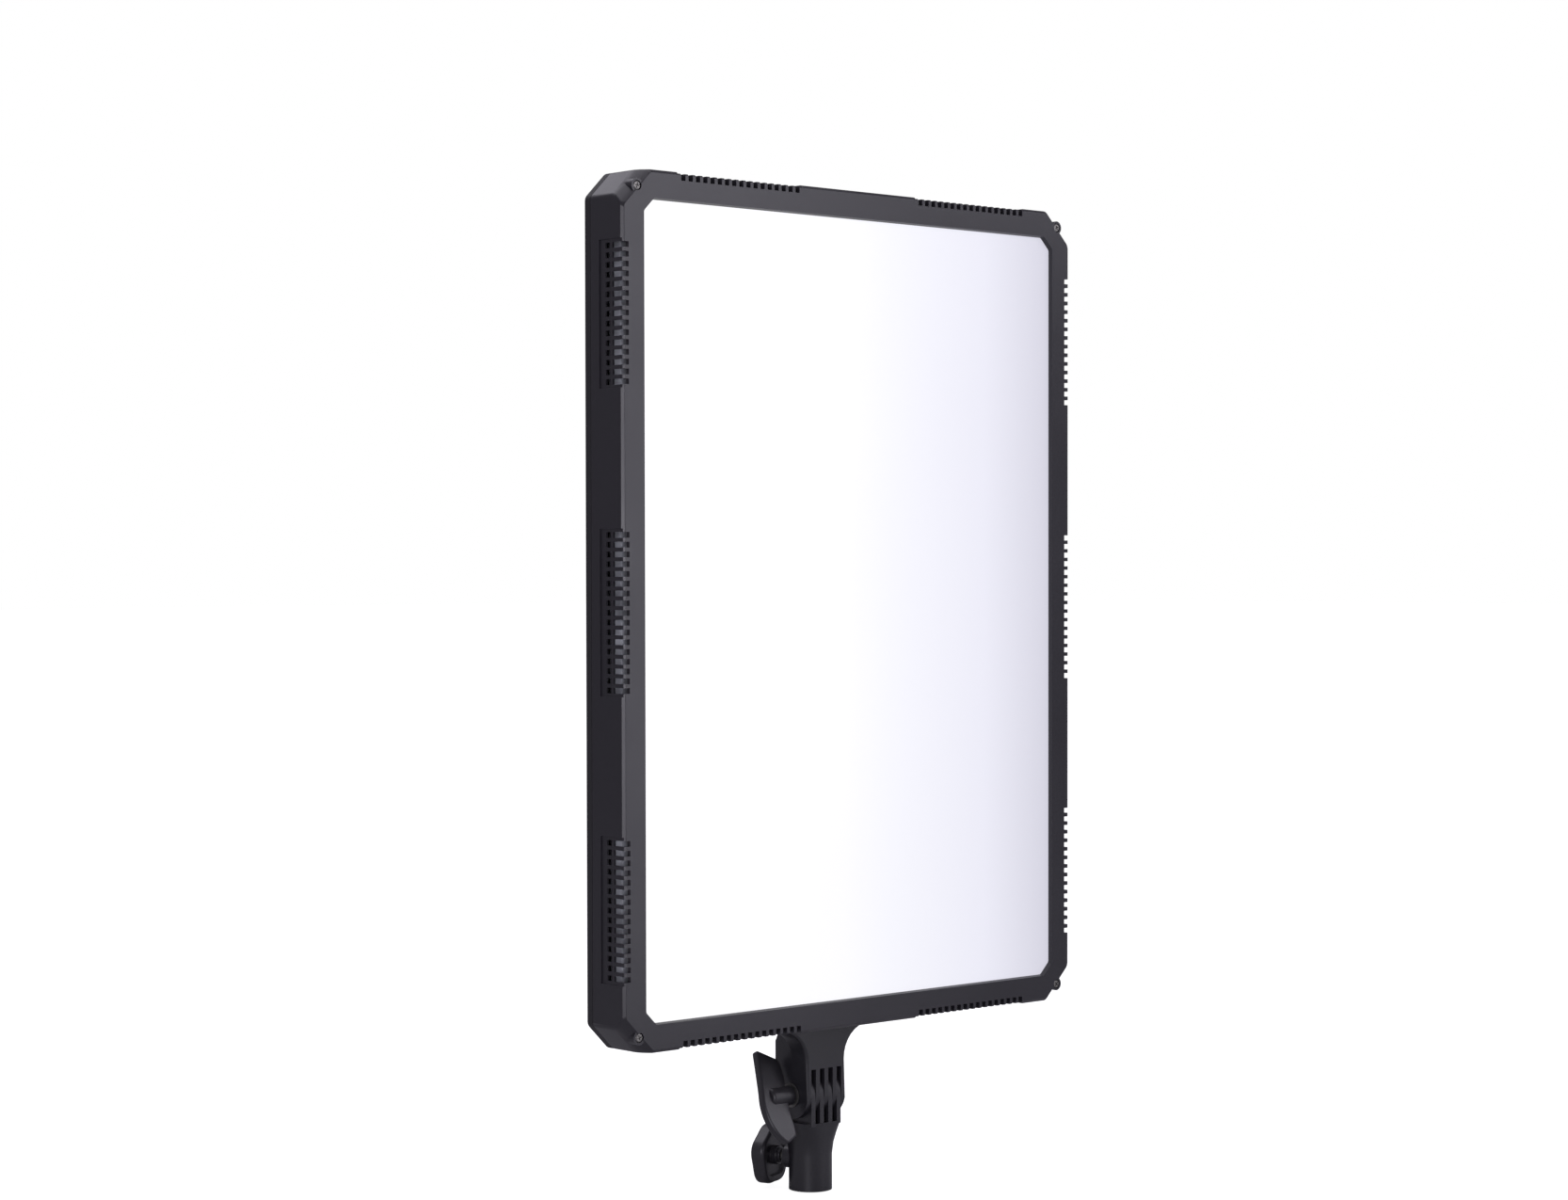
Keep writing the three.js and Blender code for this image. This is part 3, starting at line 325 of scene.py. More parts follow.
# %% Moulded grain group
def make_moulded_grain():
    group, start, end = start_group(
        "moulded_grain",
        [("Color", "NodeSocketColor", (0.03, 0.03, 0.035, 1.0)), ("Grain Scale", "NodeSocketFloat", 1800.0),
         ("Drift", "NodeSocketFloat", 0.2), ("Roughness", "NodeSocketFloat", 0.5),
         ("Roughness Spread", "NodeSocketFloat", 0.1)],
        [("Color", "NodeSocketColor"), ("Roughness", "NodeSocketFloat"), ("Height", "NodeSocketFloat")],
    )
    fine = noise(group, start.outputs["Grain Scale"], 3.0, 0.6)
    broad = noise(group, 9.0, 3.0, 0.55)
    low = math_node(group, "SUBTRACT", 1.0, start.outputs["Drift"])
    high = math_node(group, "ADD", 1.0, start.outputs["Drift"])
    tone = spread(group, broad, 0.3, 0.7, low, high)
    speck = spread(group, fine, 0.3, 0.7, 0.93, 1.07)
    shade = math_node(group, "MULTIPLY", tone, speck)
    grey = group.nodes.new("ShaderNodeCombineColor")
    for socket in grey.inputs[:3]:
        group.links.new(shade, socket)
    coloured = mix_colour(group, 1.0, start.outputs["Color"], grey.outputs[0], "MULTIPLY")
    group.links.new(coloured, end.inputs["Color"])
    swing = math_node(group, "SUBTRACT", math_node(group, "ADD", fine, broad), 1.0)
    gloss = math_node(group, "MULTIPLY", swing, start.outputs["Roughness Spread"])
    rough = math_node(group, "ADD", start.outputs["Roughness"], gloss, clamp=True)
    group.links.new(rough, end.inputs["Roughness"])
    group.links.new(fine, end.inputs["Height"])
    return group


moulded_grain = make_moulded_grain()
print("group", moulded_grain.name)

# %% [markdown]
# ### Rubbed edges and painted highlight
# Edges that get handled are a shade smoother than the grain round them, and their colour is lifted to a
# lighter one: partly wear, and partly a painted highlight for the light that edges catch. A Bevel node's
# rounded normal leaves the true one only near an edge, so the angle between the two finds the edges
# whatever the mesh is like. Pointiness would need a dense mesh. A noise makes the lightening patchy.

# %% Edge wear and painted highlight group
def make_wear_and_highlight_edge():
    group, start, end = start_group(
        "wear_and_highlight_edge",
        [("Color", "NodeSocketColor", (0.03, 0.03, 0.035, 1.0)),
         ("Rubbed Color", "NodeSocketColor", (0.1, 0.1, 0.11, 1.0)), ("Amount", "NodeSocketFloat", 0.5)],
        [("Color", "NodeSocketColor"), ("Mask", "NodeSocketFloat")],
    )
    rounded = group.nodes.new("ShaderNodeBevel")
    rounded.samples = 4
    rounded.inputs["Radius"].default_value = 0.6 * MM
    angle = group.nodes.new("ShaderNodeVectorMath")
    angle.operation = "DOT_PRODUCT"
    group.links.new(rounded.outputs["Normal"], angle.inputs[0])
    group.links.new(group.nodes.new("ShaderNodeNewGeometry").outputs["Normal"], angle.inputs[1])
    # painted highlight: the colour is lifted near every edge, partly for wear and partly for the light an
    # edge catches
    edge = spread(group, angle.outputs["Value"], 0.99, 0.85)
    patch = spread(group, noise(group, 160.0, 4.0, 0.65), 0.38, 0.62)
    wear_and_highlight_patch = math_node(group, "MULTIPLY", edge, patch)
    mask = math_node(group, "MULTIPLY", wear_and_highlight_patch, start.outputs["Amount"], clamp=True)
    mixed = mix_colour(group, mask, start.outputs["Color"], start.outputs["Rubbed Color"])
    group.links.new(mixed, end.inputs["Color"])
    group.links.new(mask, end.inputs["Mask"])
    return group


wear_and_highlight_edge = make_wear_and_highlight_edge()
print("group", wear_and_highlight_edge.name)

# %% [markdown]
# ### Settled dust
# A little pale dust lies on faces that look up. The surface normal's height picks those faces, and a
# noise gathers the dust in soft patches.

# %% Settled dust group
def make_settled_dust():
    group, start, end = start_group(
        "settled_dust",
        [("Color", "NodeSocketColor", (0.03, 0.03, 0.035, 1.0)),
         ("Dust Color", "NodeSocketColor", (0.42, 0.40, 0.38, 1.0)), ("Amount", "NodeSocketFloat", 0.05)],
        [("Color", "NodeSocketColor"), ("Mask", "NodeSocketFloat")],
    )
    split = group.nodes.new("ShaderNodeSeparateXYZ")
    group.links.new(group.nodes.new("ShaderNodeNewGeometry").outputs["Normal"], split.inputs[0])
    facing_up = spread(group, split.outputs["Z"], 0.3, 1.0)
    patch = spread(group, noise(group, 45.0, 5.0, 0.7), 0.35, 0.65)
    cover = math_node(group, "MULTIPLY", facing_up, patch)
    mask = math_node(group, "MULTIPLY", cover, start.outputs["Amount"], clamp=True)
    mixed = mix_colour(group, mask, start.outputs["Color"], start.outputs["Dust Color"])
    group.links.new(mixed, end.inputs["Color"])
    group.links.new(mask, end.inputs["Mask"])
    return group


settled_dust = make_settled_dust()
print("group", settled_dust.name)

# %% [markdown]
# ### Worked metal
# Turned, plated and milled metal shows fine lines along the way it was worked, and a slight stain. A
# noise stretched along one axis gives the lines, and a broad one the stain.

# %% Worked metal group
def make_worked_metal():
    group, start, end = start_group(
        "worked_metal",
        [("Color", "NodeSocketColor", (0.6, 0.6, 0.6, 1.0)), ("Line Scale", "NodeSocketFloat", 900.0),
         ("Roughness", "NodeSocketFloat", 0.35), ("Stain", "NodeSocketFloat", 0.15)],
        [("Color", "NodeSocketColor"), ("Roughness", "NodeSocketFloat"), ("Height", "NodeSocketFloat")],
    )
    lines = noise(group, start.outputs["Line Scale"], 2.0, 0.5, stretch=(0.08, 1.0, 1.0))
    stain = spread(group, noise(group, 60.0, 4.0, 0.6), 0.35, 0.7)
    depth = math_node(group, "MULTIPLY", stain, start.outputs["Stain"])
    kept = math_node(group, "SUBTRACT", 1.0, depth)
    grey = group.nodes.new("ShaderNodeCombineColor")
    for socket in grey.inputs[:3]:
        group.links.new(kept, socket)
    coloured = mix_colour(group, 1.0, start.outputs["Color"], grey.outputs[0], "MULTIPLY")
    group.links.new(coloured, end.inputs["Color"])
    swing = math_node(group, "MULTIPLY", math_node(group, "SUBTRACT", lines, 0.5), 0.3)
    rough = math_node(group, "ADD", start.outputs["Roughness"], swing)
    group.links.new(math_node(group, "ADD", rough, depth, clamp=True), end.inputs["Roughness"])
    group.links.new(lines, end.inputs["Height"])
    return group


worked_metal = make_worked_metal()
print("group", worked_metal.name)

# %% [markdown]
# ## Plastics
# The case, the pod, the head and the knobs are all black, but not the same black: the case is a satin
# ABS with a faint violet cast, the head a glass-filled nylon that shines a little more, and the knobs
# are darker. One function makes them all from the shared effects.

# %% Plastics
def start_material(name):
    material = bpy.data.materials.new(name)
    material.use_nodes = True
    return material, material.node_tree, material.node_tree.nodes["Principled BSDF"]


def place_group(tree, group, **values):
    node = tree.nodes.new("ShaderNodeGroup")
    node.node_tree = group
    for label, value in values.items():
        node.inputs[label.replace("_", " ")].default_value = value
    return node


def add_bump(tree, shader, height, distance, strength=1.0):
    bump = tree.nodes.new("ShaderNodeBump")
    bump.inputs["Distance"].default_value = distance
    bump.inputs["Strength"].default_value = strength
    tree.links.new(height, bump.inputs["Height"])
    tree.links.new(bump.outputs["Normal"], shader.inputs["Normal"])


def plastic(name, colour, roughness, grain=1800.0, depth=0.02 * MM, wear_and_highlight_amount=0.5, dust=0.03, drift=0.05):
    material, tree, shader = start_material(name)
    base = place_group(
        tree, moulded_grain, Grain_Scale=grain, Drift=drift, Roughness=roughness, Roughness_Spread=0.16,
        Color=(*colour, 1.0),
    )
    # painted highlight: the lighter edge colour is partly wear and partly the light that edges catch
    wear_and_highlight_colour = [min(1, c * 2.6 + 0.02) for c in colour]
    wear_and_highlight = place_group(tree, wear_and_highlight_edge, Amount=wear_and_highlight_amount, Rubbed_Color=(*wear_and_highlight_colour, 1.0))
    dusty = place_group(tree, settled_dust, Amount=dust)
    tree.links.new(base.outputs["Color"], wear_and_highlight.inputs["Color"])
    tree.links.new(wear_and_highlight.outputs["Color"], dusty.inputs["Color"])
    tree.links.new(dusty.outputs["Color"], shader.inputs["Base Color"])
    softened = math_node(tree, "MULTIPLY", wear_and_highlight.outputs["Mask"], -0.12)
    matted = math_node(tree, "ADD", base.outputs["Roughness"], softened)
    matted = math_node(tree, "ADD", matted, dusty.outputs["Mask"])
    tree.links.new(matted, shader.inputs["Roughness"])
    add_bump(tree, shader, base.outputs["Height"], depth, 0.6)
    return material


case_black = plastic("case_black", (0.0125, 0.0115, 0.016), 0.35)
cover_black = plastic("cover_black", (0.010, 0.0095, 0.012), 0.62, grain=1200.0, depth=0.03 * MM)
pod_black = plastic("pod_black", (0.015, 0.0145, 0.018), 0.5, grain=1300.0, depth=0.03 * MM)
head_black = plastic("head_black", (0.015, 0.0145, 0.018), 0.33, grain=2300.0, wear_and_highlight_amount=0.7)
grip_black = plastic("grip_black", (0.0175, 0.0165, 0.020), 0.36, grain=2600.0, wear_and_highlight_amount=0.9)
print("plastics", [m.name for m in (case_black, pod_black, head_black, grip_black)])

# %% [markdown]
# ## Metals
# Screws and the bolt are zinc plated, the threaded inserts are brass, the tray and the heat rails are
# aluminium, and the power socket is a nickel-plated casting. They share the worked lines and differ in
# colour, gloss and stain.

# %% Metals
def metal(name, colour, roughness, lines=900.0, stain=0.15, depth=0.008 * MM):
    material, tree, shader = start_material(name)
    shader.inputs["Metallic"].default_value = 1.0
    base = place_group(
        tree, worked_metal, Line_Scale=lines, Roughness=roughness, Stain=stain, Color=(*colour, 1.0)
    )
    tree.links.new(base.outputs["Color"], shader.inputs["Base Color"])
    tree.links.new(base.outputs["Roughness"], shader.inputs["Roughness"])
    add_bump(tree, shader, base.outputs["Height"], depth, 0.5)
    return material


zinc = metal("zinc_plate", (0.22, 0.215, 0.205), 0.34, stain=0.35)
aluminium = metal("milled_aluminium", (0.55, 0.56, 0.58), 0.42, lines=500.0)
brass_finish = metal("turned_brass", (0.62, 0.41, 0.13), 0.3)
nickel = metal("nickel_casting", (0.50, 0.50, 0.50), 0.34, lines=1500.0, stain=0.25)
print("metals", [m.name for m in (zinc, aluminium, brass_finish, nickel)])

# %% [markdown]
# ## The lit diffuser
# The diffuser is a satin opal sheet that glows from edge to edge. It reads as almost pure white, and
# falls off to a cool pale grey towards the right-hand side. That falloff is painted shade: an emission
# colour that changes slowly across the sheet, where a lamp behind real frosted glass would be far slower
# and grainier. A fine prismatic dimple keeps the sheet from looking like paper where it catches a highlight.

# %% Opal diffuser material
def make_opal():
    material, tree, shader = start_material("opal_lit")
    shader.inputs["Base Color"].default_value = (0.12, 0.12, 0.13, 1.0)
    shader.inputs["Roughness"].default_value = 0.45
    place = tree.nodes.new("ShaderNodeTexCoord").outputs["Object"]
    split = tree.nodes.new("ShaderNodeSeparateXYZ")
    tree.links.new(place, split.inputs[0])
    # painted shade: the glow's colour falls from white on the left to a cool grey on the right
    across = spread(tree, split.outputs["X"], -0.2, 0.2)
    ramp = tree.nodes.new("ShaderNodeValToRGB")
    ramp.color_ramp.interpolation = "LINEAR"
    stops = ramp.color_ramp.elements
    stops[0].position, stops[0].color = 0.0, (1.0, 1.0, 1.0, 1.0)
    stops[1].position, stops[1].color = 1.0, (0.60, 0.595, 0.675, 1.0)
    for position, colour in ((0.466, (0.94, 0.94, 0.97, 1.0)), (0.584, (0.88, 0.885, 0.93, 1.0)),
                             (0.829, (0.78, 0.78, 0.86, 1.0))):
        stop = stops.new(position)
        stop.color = colour
    tree.links.new(across, ramp.inputs[0])
    cloud = spread(tree, noise(tree, 6.0, 1.0, 0.4), 0.2, 0.8, 0.985, 1.0)
    grey = tree.nodes.new("ShaderNodeCombineColor")
    for socket in grey.inputs[:3]:
        tree.links.new(cloud, socket)
    glow = mix_colour(tree, 1.0, ramp.outputs["Color"], grey.outputs[0], "MULTIPLY")
    tree.links.new(glow, shader.inputs["Emission Color"])
    shader.inputs["Emission Strength"].default_value = 0.93
    dimples = tree.nodes.new("ShaderNodeTexVoronoi")
    dimples.inputs["Scale"].default_value = 1600.0
    tree.links.new(place, dimples.inputs["Vector"])
    add_bump(tree, shader, dimples.outputs["Distance"], 0.02 * MM, 0.5)
    return material


opal_lit = make_opal()
print("diffuser material", opal_lit.name)

# %% [markdown]
# ## Inner parts and the display
# The sheets behind the diffuser, the boards and the display are mostly hidden, but the vents and the
# window let the eye in. The board has lighter green tracks between darker fields, and the window is a
# clear pane with a faint smear.

# %% Films, boards and panes
def film(name, colour, roughness):
    material, tree, shader = start_material(name)
    base = place_group(
        tree, moulded_grain, Grain_Scale=900.0, Drift=0.03, Roughness=roughness, Roughness_Spread=0.1,
        Color=(*colour, 1.0),
    )
    tree.links.new(base.outputs["Color"], shader.inputs["Base Color"])
    tree.links.new(base.outputs["Roughness"], shader.inputs["Roughness"])
    add_bump(tree, shader, base.outputs["Height"], 0.01 * MM, 0.4)
    return material


def make_board():
    material, tree, shader = start_material("board_green")
    place = tree.nodes.new("ShaderNodeTexCoord").outputs["Object"]
    tracks = tree.nodes.new("ShaderNodeTexBrick")
    tracks.inputs["Scale"].default_value = 130.0
    tracks.inputs["Color1"].default_value = (0.012, 0.060, 0.030, 1.0)
    tracks.inputs["Color2"].default_value = (0.018, 0.085, 0.042, 1.0)
    tracks.inputs["Mortar"].default_value = (0.030, 0.130, 0.060, 1.0)
    mapping = tree.nodes.new("ShaderNodeMapping")
    mapping.inputs["Rotation"].default_value = (math.radians(90), 0.0, 0.0)
    tree.links.new(place, mapping.inputs["Vector"])
    tree.links.new(mapping.outputs["Vector"], tracks.inputs["Vector"])
    tree.links.new(tracks.outputs["Color"], shader.inputs["Base Color"])
    shader.inputs["Roughness"].default_value = 0.35
    add_bump(tree, shader, tracks.outputs["Fac"], 0.04 * MM, 0.5)
    return material


white_film = film("white_film", (0.80, 0.80, 0.80), 0.55)
board_green = make_board()
screen_black = film("screen_black", (0.010, 0.011, 0.014), 0.22)


def make_pane(name, colour, roughness, transmission):
    material, tree, shader = start_material(name)
    smear = spread(tree, noise(tree, 40.0, 4.0, 0.6), 0.3, 0.7, roughness, roughness + 0.08)
    tree.links.new(smear, shader.inputs["Roughness"])
    shader.inputs["Base Color"].default_value = (*colour, 1.0)
    shader.inputs["Transmission Weight"].default_value = transmission
    shader.inputs["IOR"].default_value = 1.49
    return material


clear_pane = make_pane("clear_pane", (0.86, 0.9, 0.9), 0.03, 1.0)
print("inner finishes ready")

# %% Finishes for the CAD pieces that stay
slot_finish = {
    "shell_plastic": case_black,
    "pod_plastic": pod_black,
    "head_plastic": head_black,
    "knob_plastic": grip_black,
    "opal_diffuser": opal_lit,
    "clear_acrylic": clear_pane,
    "white_film": white_film,
    "bare_aluminium": aluminium,
    "zinc_steel": zinc,
    "brass": brass_finish,
    "circuit_board": board_green,
    "display_black": screen_black,
    "port_metal": nickel,
}
for part in frame["record"]["subparts"]:
    mesh = frame["nodes"][part["node"]].data
    mesh.materials.clear()
    mesh.materials.append(slot_finish[part["material_slot"]])

# %% [markdown]
# ## The case
# The front shell and the rear cover are two mouldings that meet in a seam near the back. The CAD model
# has every vent slot, the shallow recess round them and the cut corners, so copies of both get a small
# radius, which is what a real mould leaves and what catches the light. On the shell only the long outer
# edges get it: rounding the slots as well broke the large faces that the slots pass through.

# %% Case mouldings
case_front = copy_of("front_shell", "case_front")
case_low, case_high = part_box("front_shell")


def on_outside(point):
    """True on the box that bounds the shell: its walls, its front and its rear rim."""
    gaps = [abs(point[i] - case_low[i]) for i in range(3)] + [abs(point[i] - case_high[i]) for i in range(3)]
    return min(gaps) < 0.05 * MM


def is_outer_edge(a, b):
    return on_outside(a) and on_outside(b) and (a - b).length > 9 * MM


round_chosen_edges(case_front, 0.5 * MM, 2, 20, is_outer_edge)
smooth(case_front, 30)
hand_over(case_front, "panel", "shell_plastic", case_black, "front_shell")
case_back = dress("rear_cover", "case_back", 0.8 * MM, segments=3, angle=40)
hand_over(case_back, "panel", "shell_plastic", cover_black, "rear_cover")

# %% [markdown]
# ## Screws
# The case screws are small pan heads with a cross recess. One is modelled from a cylinder: its rim is
# rounded, and two thin bars cut the recess. The others are copies, each with a mesh of its own, turned
# a little differently, as no one lines them up.

# %% One screw, then its copies
def make_screw(name, radius, height, length, shank):
    bpy.ops.object.select_all(action="DESELECT")
    bpy.ops.mesh.primitive_cylinder_add(
        vertices=36, radius=radius, depth=height, location=(0, 0, -height / 2)
    )
    head = bpy.context.active_object
    head.name = name
    settle(head)
    select_where(head, "EDGE", lambda e: all(v.z > -0.1 * height for v in edge_ends(head, e)))
    bpy.ops.mesh.bevel(offset=0.45 * height, segments=5, affect="EDGES")
    leave_edit()
    for turn in (0, 90):
        bpy.ops.object.select_all(action="DESELECT")
        bpy.ops.mesh.primitive_cube_add(size=1.0, location=(0, 0, 0))
        bar = bpy.context.active_object
        bar.scale = (1.15 * radius, 0.24 * radius, 1.1 * height)
        bar.rotation_euler = (0, 0, math.radians(turn))
        settle(bar)
        boolean(head, bar, "DIFFERENCE")
    bpy.ops.object.select_all(action="DESELECT")
    overlap = 0.3 * MM
    bpy.ops.mesh.primitive_cylinder_add(
        vertices=20, radius=shank, depth=length, location=(0, 0, -height - length / 2 + overlap)
    )
    stem = bpy.context.active_object
    settle(stem)
    boolean(head, stem, "UNION")
    smooth(head, 35)
    return head


def place_screw(model, name, node, facing, turn, body, slot, material):
    low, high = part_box(node)
    middle = (low + high) / 2
    seat = low.y if facing < 0 else high.y
    screw = model.copy()
    screw.data = model.data.copy()
    screw.name = name
    bpy.context.scene.collection.objects.link(screw)
    tip = Matrix.Rotation(math.radians(90 if facing < 0 else -90), 4, "X")
    spin = Matrix.Rotation(math.radians(turn), 4, "Z")
    screw.data.transform(Matrix.Translation((middle.x, seat, middle.z)) @ tip @ spin)
    return hand_over(screw, body, slot, material, node)


small_screw = make_screw("small_screw", 3.1 * MM, 2.0 * MM, 6 * MM, 1.5 * MM)
case_nodes = [n for n in frame["nodes"] if n.startswith("corner_screw_")]
pod_nodes = [n for n in frame["nodes"] if n.startswith("pod_screw_")]
for i, node in enumerate(sorted(case_nodes)):
    place_screw(small_screw, f"case_{node}", node, -1, 17 + 31 * i, "panel", "zinc_steel", zinc)
for i, node in enumerate(sorted(pod_nodes)):
    place_screw(small_screw, f"back_{node}", node, 1, 8 + 23 * i, "panel", "zinc_steel", zinc)
large_screw = make_screw("large_screw", 4.5 * MM, 3.5 * MM, 8 * MM, 2.5 * MM)
yoke_nodes = [n for n in frame["nodes"] if n.startswith("yoke_screw_")]
for i, node in enumerate(sorted(yoke_nodes)):
    place_screw(large_screw, f"head_{node}", node, 1, 12 + 19 * i, "panel", "zinc_steel", zinc)
for model in (small_screw, large_screw):
    bpy.data.objects.remove(model)
print("screws placed:", len(case_nodes) + len(pod_nodes) + len(yoke_nodes))

# %% [markdown]
# ## The neck and its leaves
# The neck flares out under the panel and ends in five leaves that interleave with four on the stand's
# side. Its front edges are well rounded, so a soft light line runs down them. Those edges are picked by
# their place and bevelled wide first, and the small radius everywhere else comes after.

# %% Neck
def make_neck():
    neck = copy_of("tilt_yoke", "neck")
    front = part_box("tilt_yoke")[0].y
    half = 18.8 * MM

    def on_front_rim(a, b):
        on_front = max(abs(a.y - front), abs(b.y - front)) < 0.05 * MM
        outside = min(abs(a.x), abs(b.x)) > half
        return on_front and outside and min(a.z, b.z) > TILT_AXIS.z - 1 * MM

    count = round_chosen_edges(neck, 2.4 * MM, 5, 30, on_front_rim, clamp=False)
    round_edges(neck, 0.35 * MM, segments=2, angle=40)
    smooth(neck, 35)
    print("neck rim edges rounded:", count, "front at", round(front, 4))
    return neck


neck = hand_over(make_neck(), "panel", "head_plastic", head_black, "tilt_yoke")

# %% [markdown]
# ## The stand socket
# A collar the size of the leaves runs down into a round socket for the stand's spigot. The CAD copy has
# that flow; a fine radius softens its collar and its mouth.

# %% Socket
socket = dress("stand_receiver", "stand_socket", 0.4 * MM, segments=2, angle=40, smooth_angle=40)
hand_over(socket, "stand", "head_plastic", head_black, "stand_receiver")

# %% [markdown]
# ## The tilt lever
# The lever is a flat fin with a bowed outer edge, on a round hub. A circle is pulled out to the fin's
# outline, filled, thickened, and rounded all along its rim; the hub is a cylinder with a rounded end,
# joined on by a union so that no faces are left inside. The whole leans back.

# %% Lever
OUTER_EDGE = [(38.4, -36), (43, -31.8), (46.6, -26.4), (49, -20), (50.2, -11.5), (49.6, -3), (47.3, 6),
              (44.6, 18), (42, 30), (40.6, 36.6)]
INNER_EDGE = [(29.5, 36.4), (23.8, 27.6), (22.4, 23), (22.6, 14), (24.4, 6), (26.2, -6), (27.4, -16),
              (27.4, -25), (28.6, -31.4)]


def along_line(points, count):
    """Evenly spaced points on a smooth line through the given ones."""
    def at(i):
        return Vector(points[max(0, min(len(points) - 1, i))])

    fine = []
    for i in range(len(points) - 1):
        p0, p1, p2, p3 = at(i - 1), at(i), at(i + 1), at(i + 2)
        for k in range(12):
            t = k / 12
            fine.append(0.5 * (2 * p1 + (p2 - p0) * t + (2 * p0 - 5 * p1 + 4 * p2 - p3) * t * t
                               + (3 * p1 - 3 * p2 + p3 - p0) * t ** 3))
    fine.append(at(len(points) - 1))
    lengths = [0.0]
    for a, b in zip(fine, fine[1:]):
        lengths.append(lengths[-1] + (b - a).length)
    out = []
    for k in range(count):
        want = lengths[-1] * k / (count - 1)
        i = max(j for j in range(len(lengths)) if lengths[j] <= want + 1e-9)
        i = min(i, len(fine) - 2)
        t = (want - lengths[i]) / max(lengths[i + 1] - lengths[i], 1e-9)
        out.append(fine[i].lerp(fine[i + 1], t))
    return out


def make_lever():
    outline = along_line(OUTER_EDGE, 30) + along_line(INNER_EDGE[1:], 24)
    bpy.ops.object.select_all(action="DESELECT")
    bpy.ops.mesh.primitive_circle_add(vertices=len(outline), radius=1.0, fill_type="NGON")
    fin = bpy.context.active_object
    fin.name = "lever"
    thickness = 7.0 * MM
    for vertex, point in zip(fin.data.vertices, outline):
        vertex.co = (-point.x * MM, -thickness / 2, point.y * MM)
    select_where(fin, "FACE", lambda face: True)
    bpy.ops.mesh.extrude_region_move(TRANSFORM_OT_translate={"value": (0.0, thickness, 0.0)})
    bpy.ops.mesh.select_all(action="SELECT")
    bpy.ops.mesh.normals_make_consistent(inside=False)
    leave_edit()
    round_edges(fin, 1.9 * MM, segments=5, angle=60)
    return fin


def make_hub():
    radius = 7.2 * MM
    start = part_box("tilt_lever")[1].x
    end = start - 21 * MM
    bpy.ops.object.select_all(action="DESELECT")
    bpy.ops.mesh.primitive_cylinder_add(
        vertices=64, radius=radius, depth=start - end, location=((start + end) / 2, 0, 0),
        rotation=(0, math.radians(90), 0),
    )
    hub = bpy.context.active_object
    settle(hub)
    select_where(hub, "EDGE", lambda e: all(v.x < end + 0.1 * MM for v in edge_ends(hub, e)))
    bpy.ops.mesh.bevel(offset=2.6 * MM, segments=6, affect="EDGES")
    leave_edit()
    select_where(hub, "EDGE", lambda e: all(v.x > start - 0.1 * MM for v in edge_ends(hub, e)))
    bpy.ops.mesh.bevel(offset=0.6 * MM, segments=3, affect="EDGES")
    leave_edit()
    return hub


lever = make_lever()
boolean(lever, make_hub(), "UNION")
lever.data.transform(Matrix.Translation(TILT_AXIS) @ Matrix.Rotation(math.radians(-27), 4, "X"))
outward(lever)
smooth(lever, 40)
hand_over(lever, "lever", "knob_plastic", grip_black, "tilt_lever")
print("lever has", len(lever.data.polygons), "faces")

# %% [markdown]
# ## The stand lock knob
# The knob is a chunky five-lobed star on a stepped hub. A circle gets the lobes, is filled and
# thickened, and its rims are rounded; its outer face is dished by an inset pushed in. It is made round
# the Z axis, then turned to point back and to the left, where its screw comes through the socket.

# %% Lock knob
LOCK_AZIMUTH = 111
LOCK_HEIGHT = 22.5 * MM


def lock_place(reach):
    """A turn that sends +Z out along the lock screw, and a move out from the bore's axis."""
    turn = Matrix.Rotation(math.radians(LOCK_AZIMUTH), 4, "Z") @ Matrix.Rotation(math.radians(90), 4, "Y")
    away = Matrix.Translation((0, 0, reach))
    return Matrix.Translation((0, 0, LOCK_HEIGHT)) @ turn @ away


def ring(radius, bottom, top, vertices=64):
    bpy.ops.object.select_all(action="DESELECT")
    bpy.ops.mesh.primitive_cylinder_add(
        vertices=vertices, radius=radius, depth=top - bottom, location=(0, 0, (bottom + top) / 2)
    )
    disc = bpy.context.active_object
    settle(disc)
    return disc


def make_lock_knob():
    count, radius, thickness, dip = 120, 22.5 * MM, 11 * MM, 0.05
    bpy.ops.object.select_all(action="DESELECT")
    bpy.ops.mesh.primitive_circle_add(vertices=count, radius=radius, fill_type="NGON")
    knob = bpy.context.active_object
    knob.name = "lock_knob"
    for i, vertex in enumerate(knob.data.vertices):
        angle = 2 * math.pi * i / count
        r = radius * (1 - dip * (1 - math.cos(5 * angle)))
        # the knob's own X points down once it is turned, and a lobe points up
        vertex.co = (-r * math.cos(angle), r * math.sin(angle), 0)
    select_where(knob, "FACE", lambda face: True)
    bpy.ops.mesh.extrude_region_move(TRANSFORM_OT_translate={"value": (0.0, 0.0, thickness)})
    bpy.ops.mesh.select_all(action="SELECT")
    bpy.ops.mesh.normals_make_consistent(inside=False)
    leave_edit()
    round_edges(knob, 2.6 * MM, segments=6, angle=60)
    select_where(knob, "FACE", lambda face: face.normal.z > 0.99 and face.area > 1e-5)
    bpy.ops.mesh.inset(thickness=3.2 * MM, depth=0.0)
    bpy.ops.mesh.inset(thickness=1.6 * MM, depth=-1.4 * MM)
    leave_edit()
    select_where(knob, "FACE", lambda face: face.normal.z < -0.99 and face.area > 1e-5)
    bpy.ops.mesh.inset(thickness=2.6 * MM, depth=0.0)
    bpy.ops.mesh.inset(thickness=1.2 * MM, depth=-2.2 * MM)
    leave_edit()
    return knob


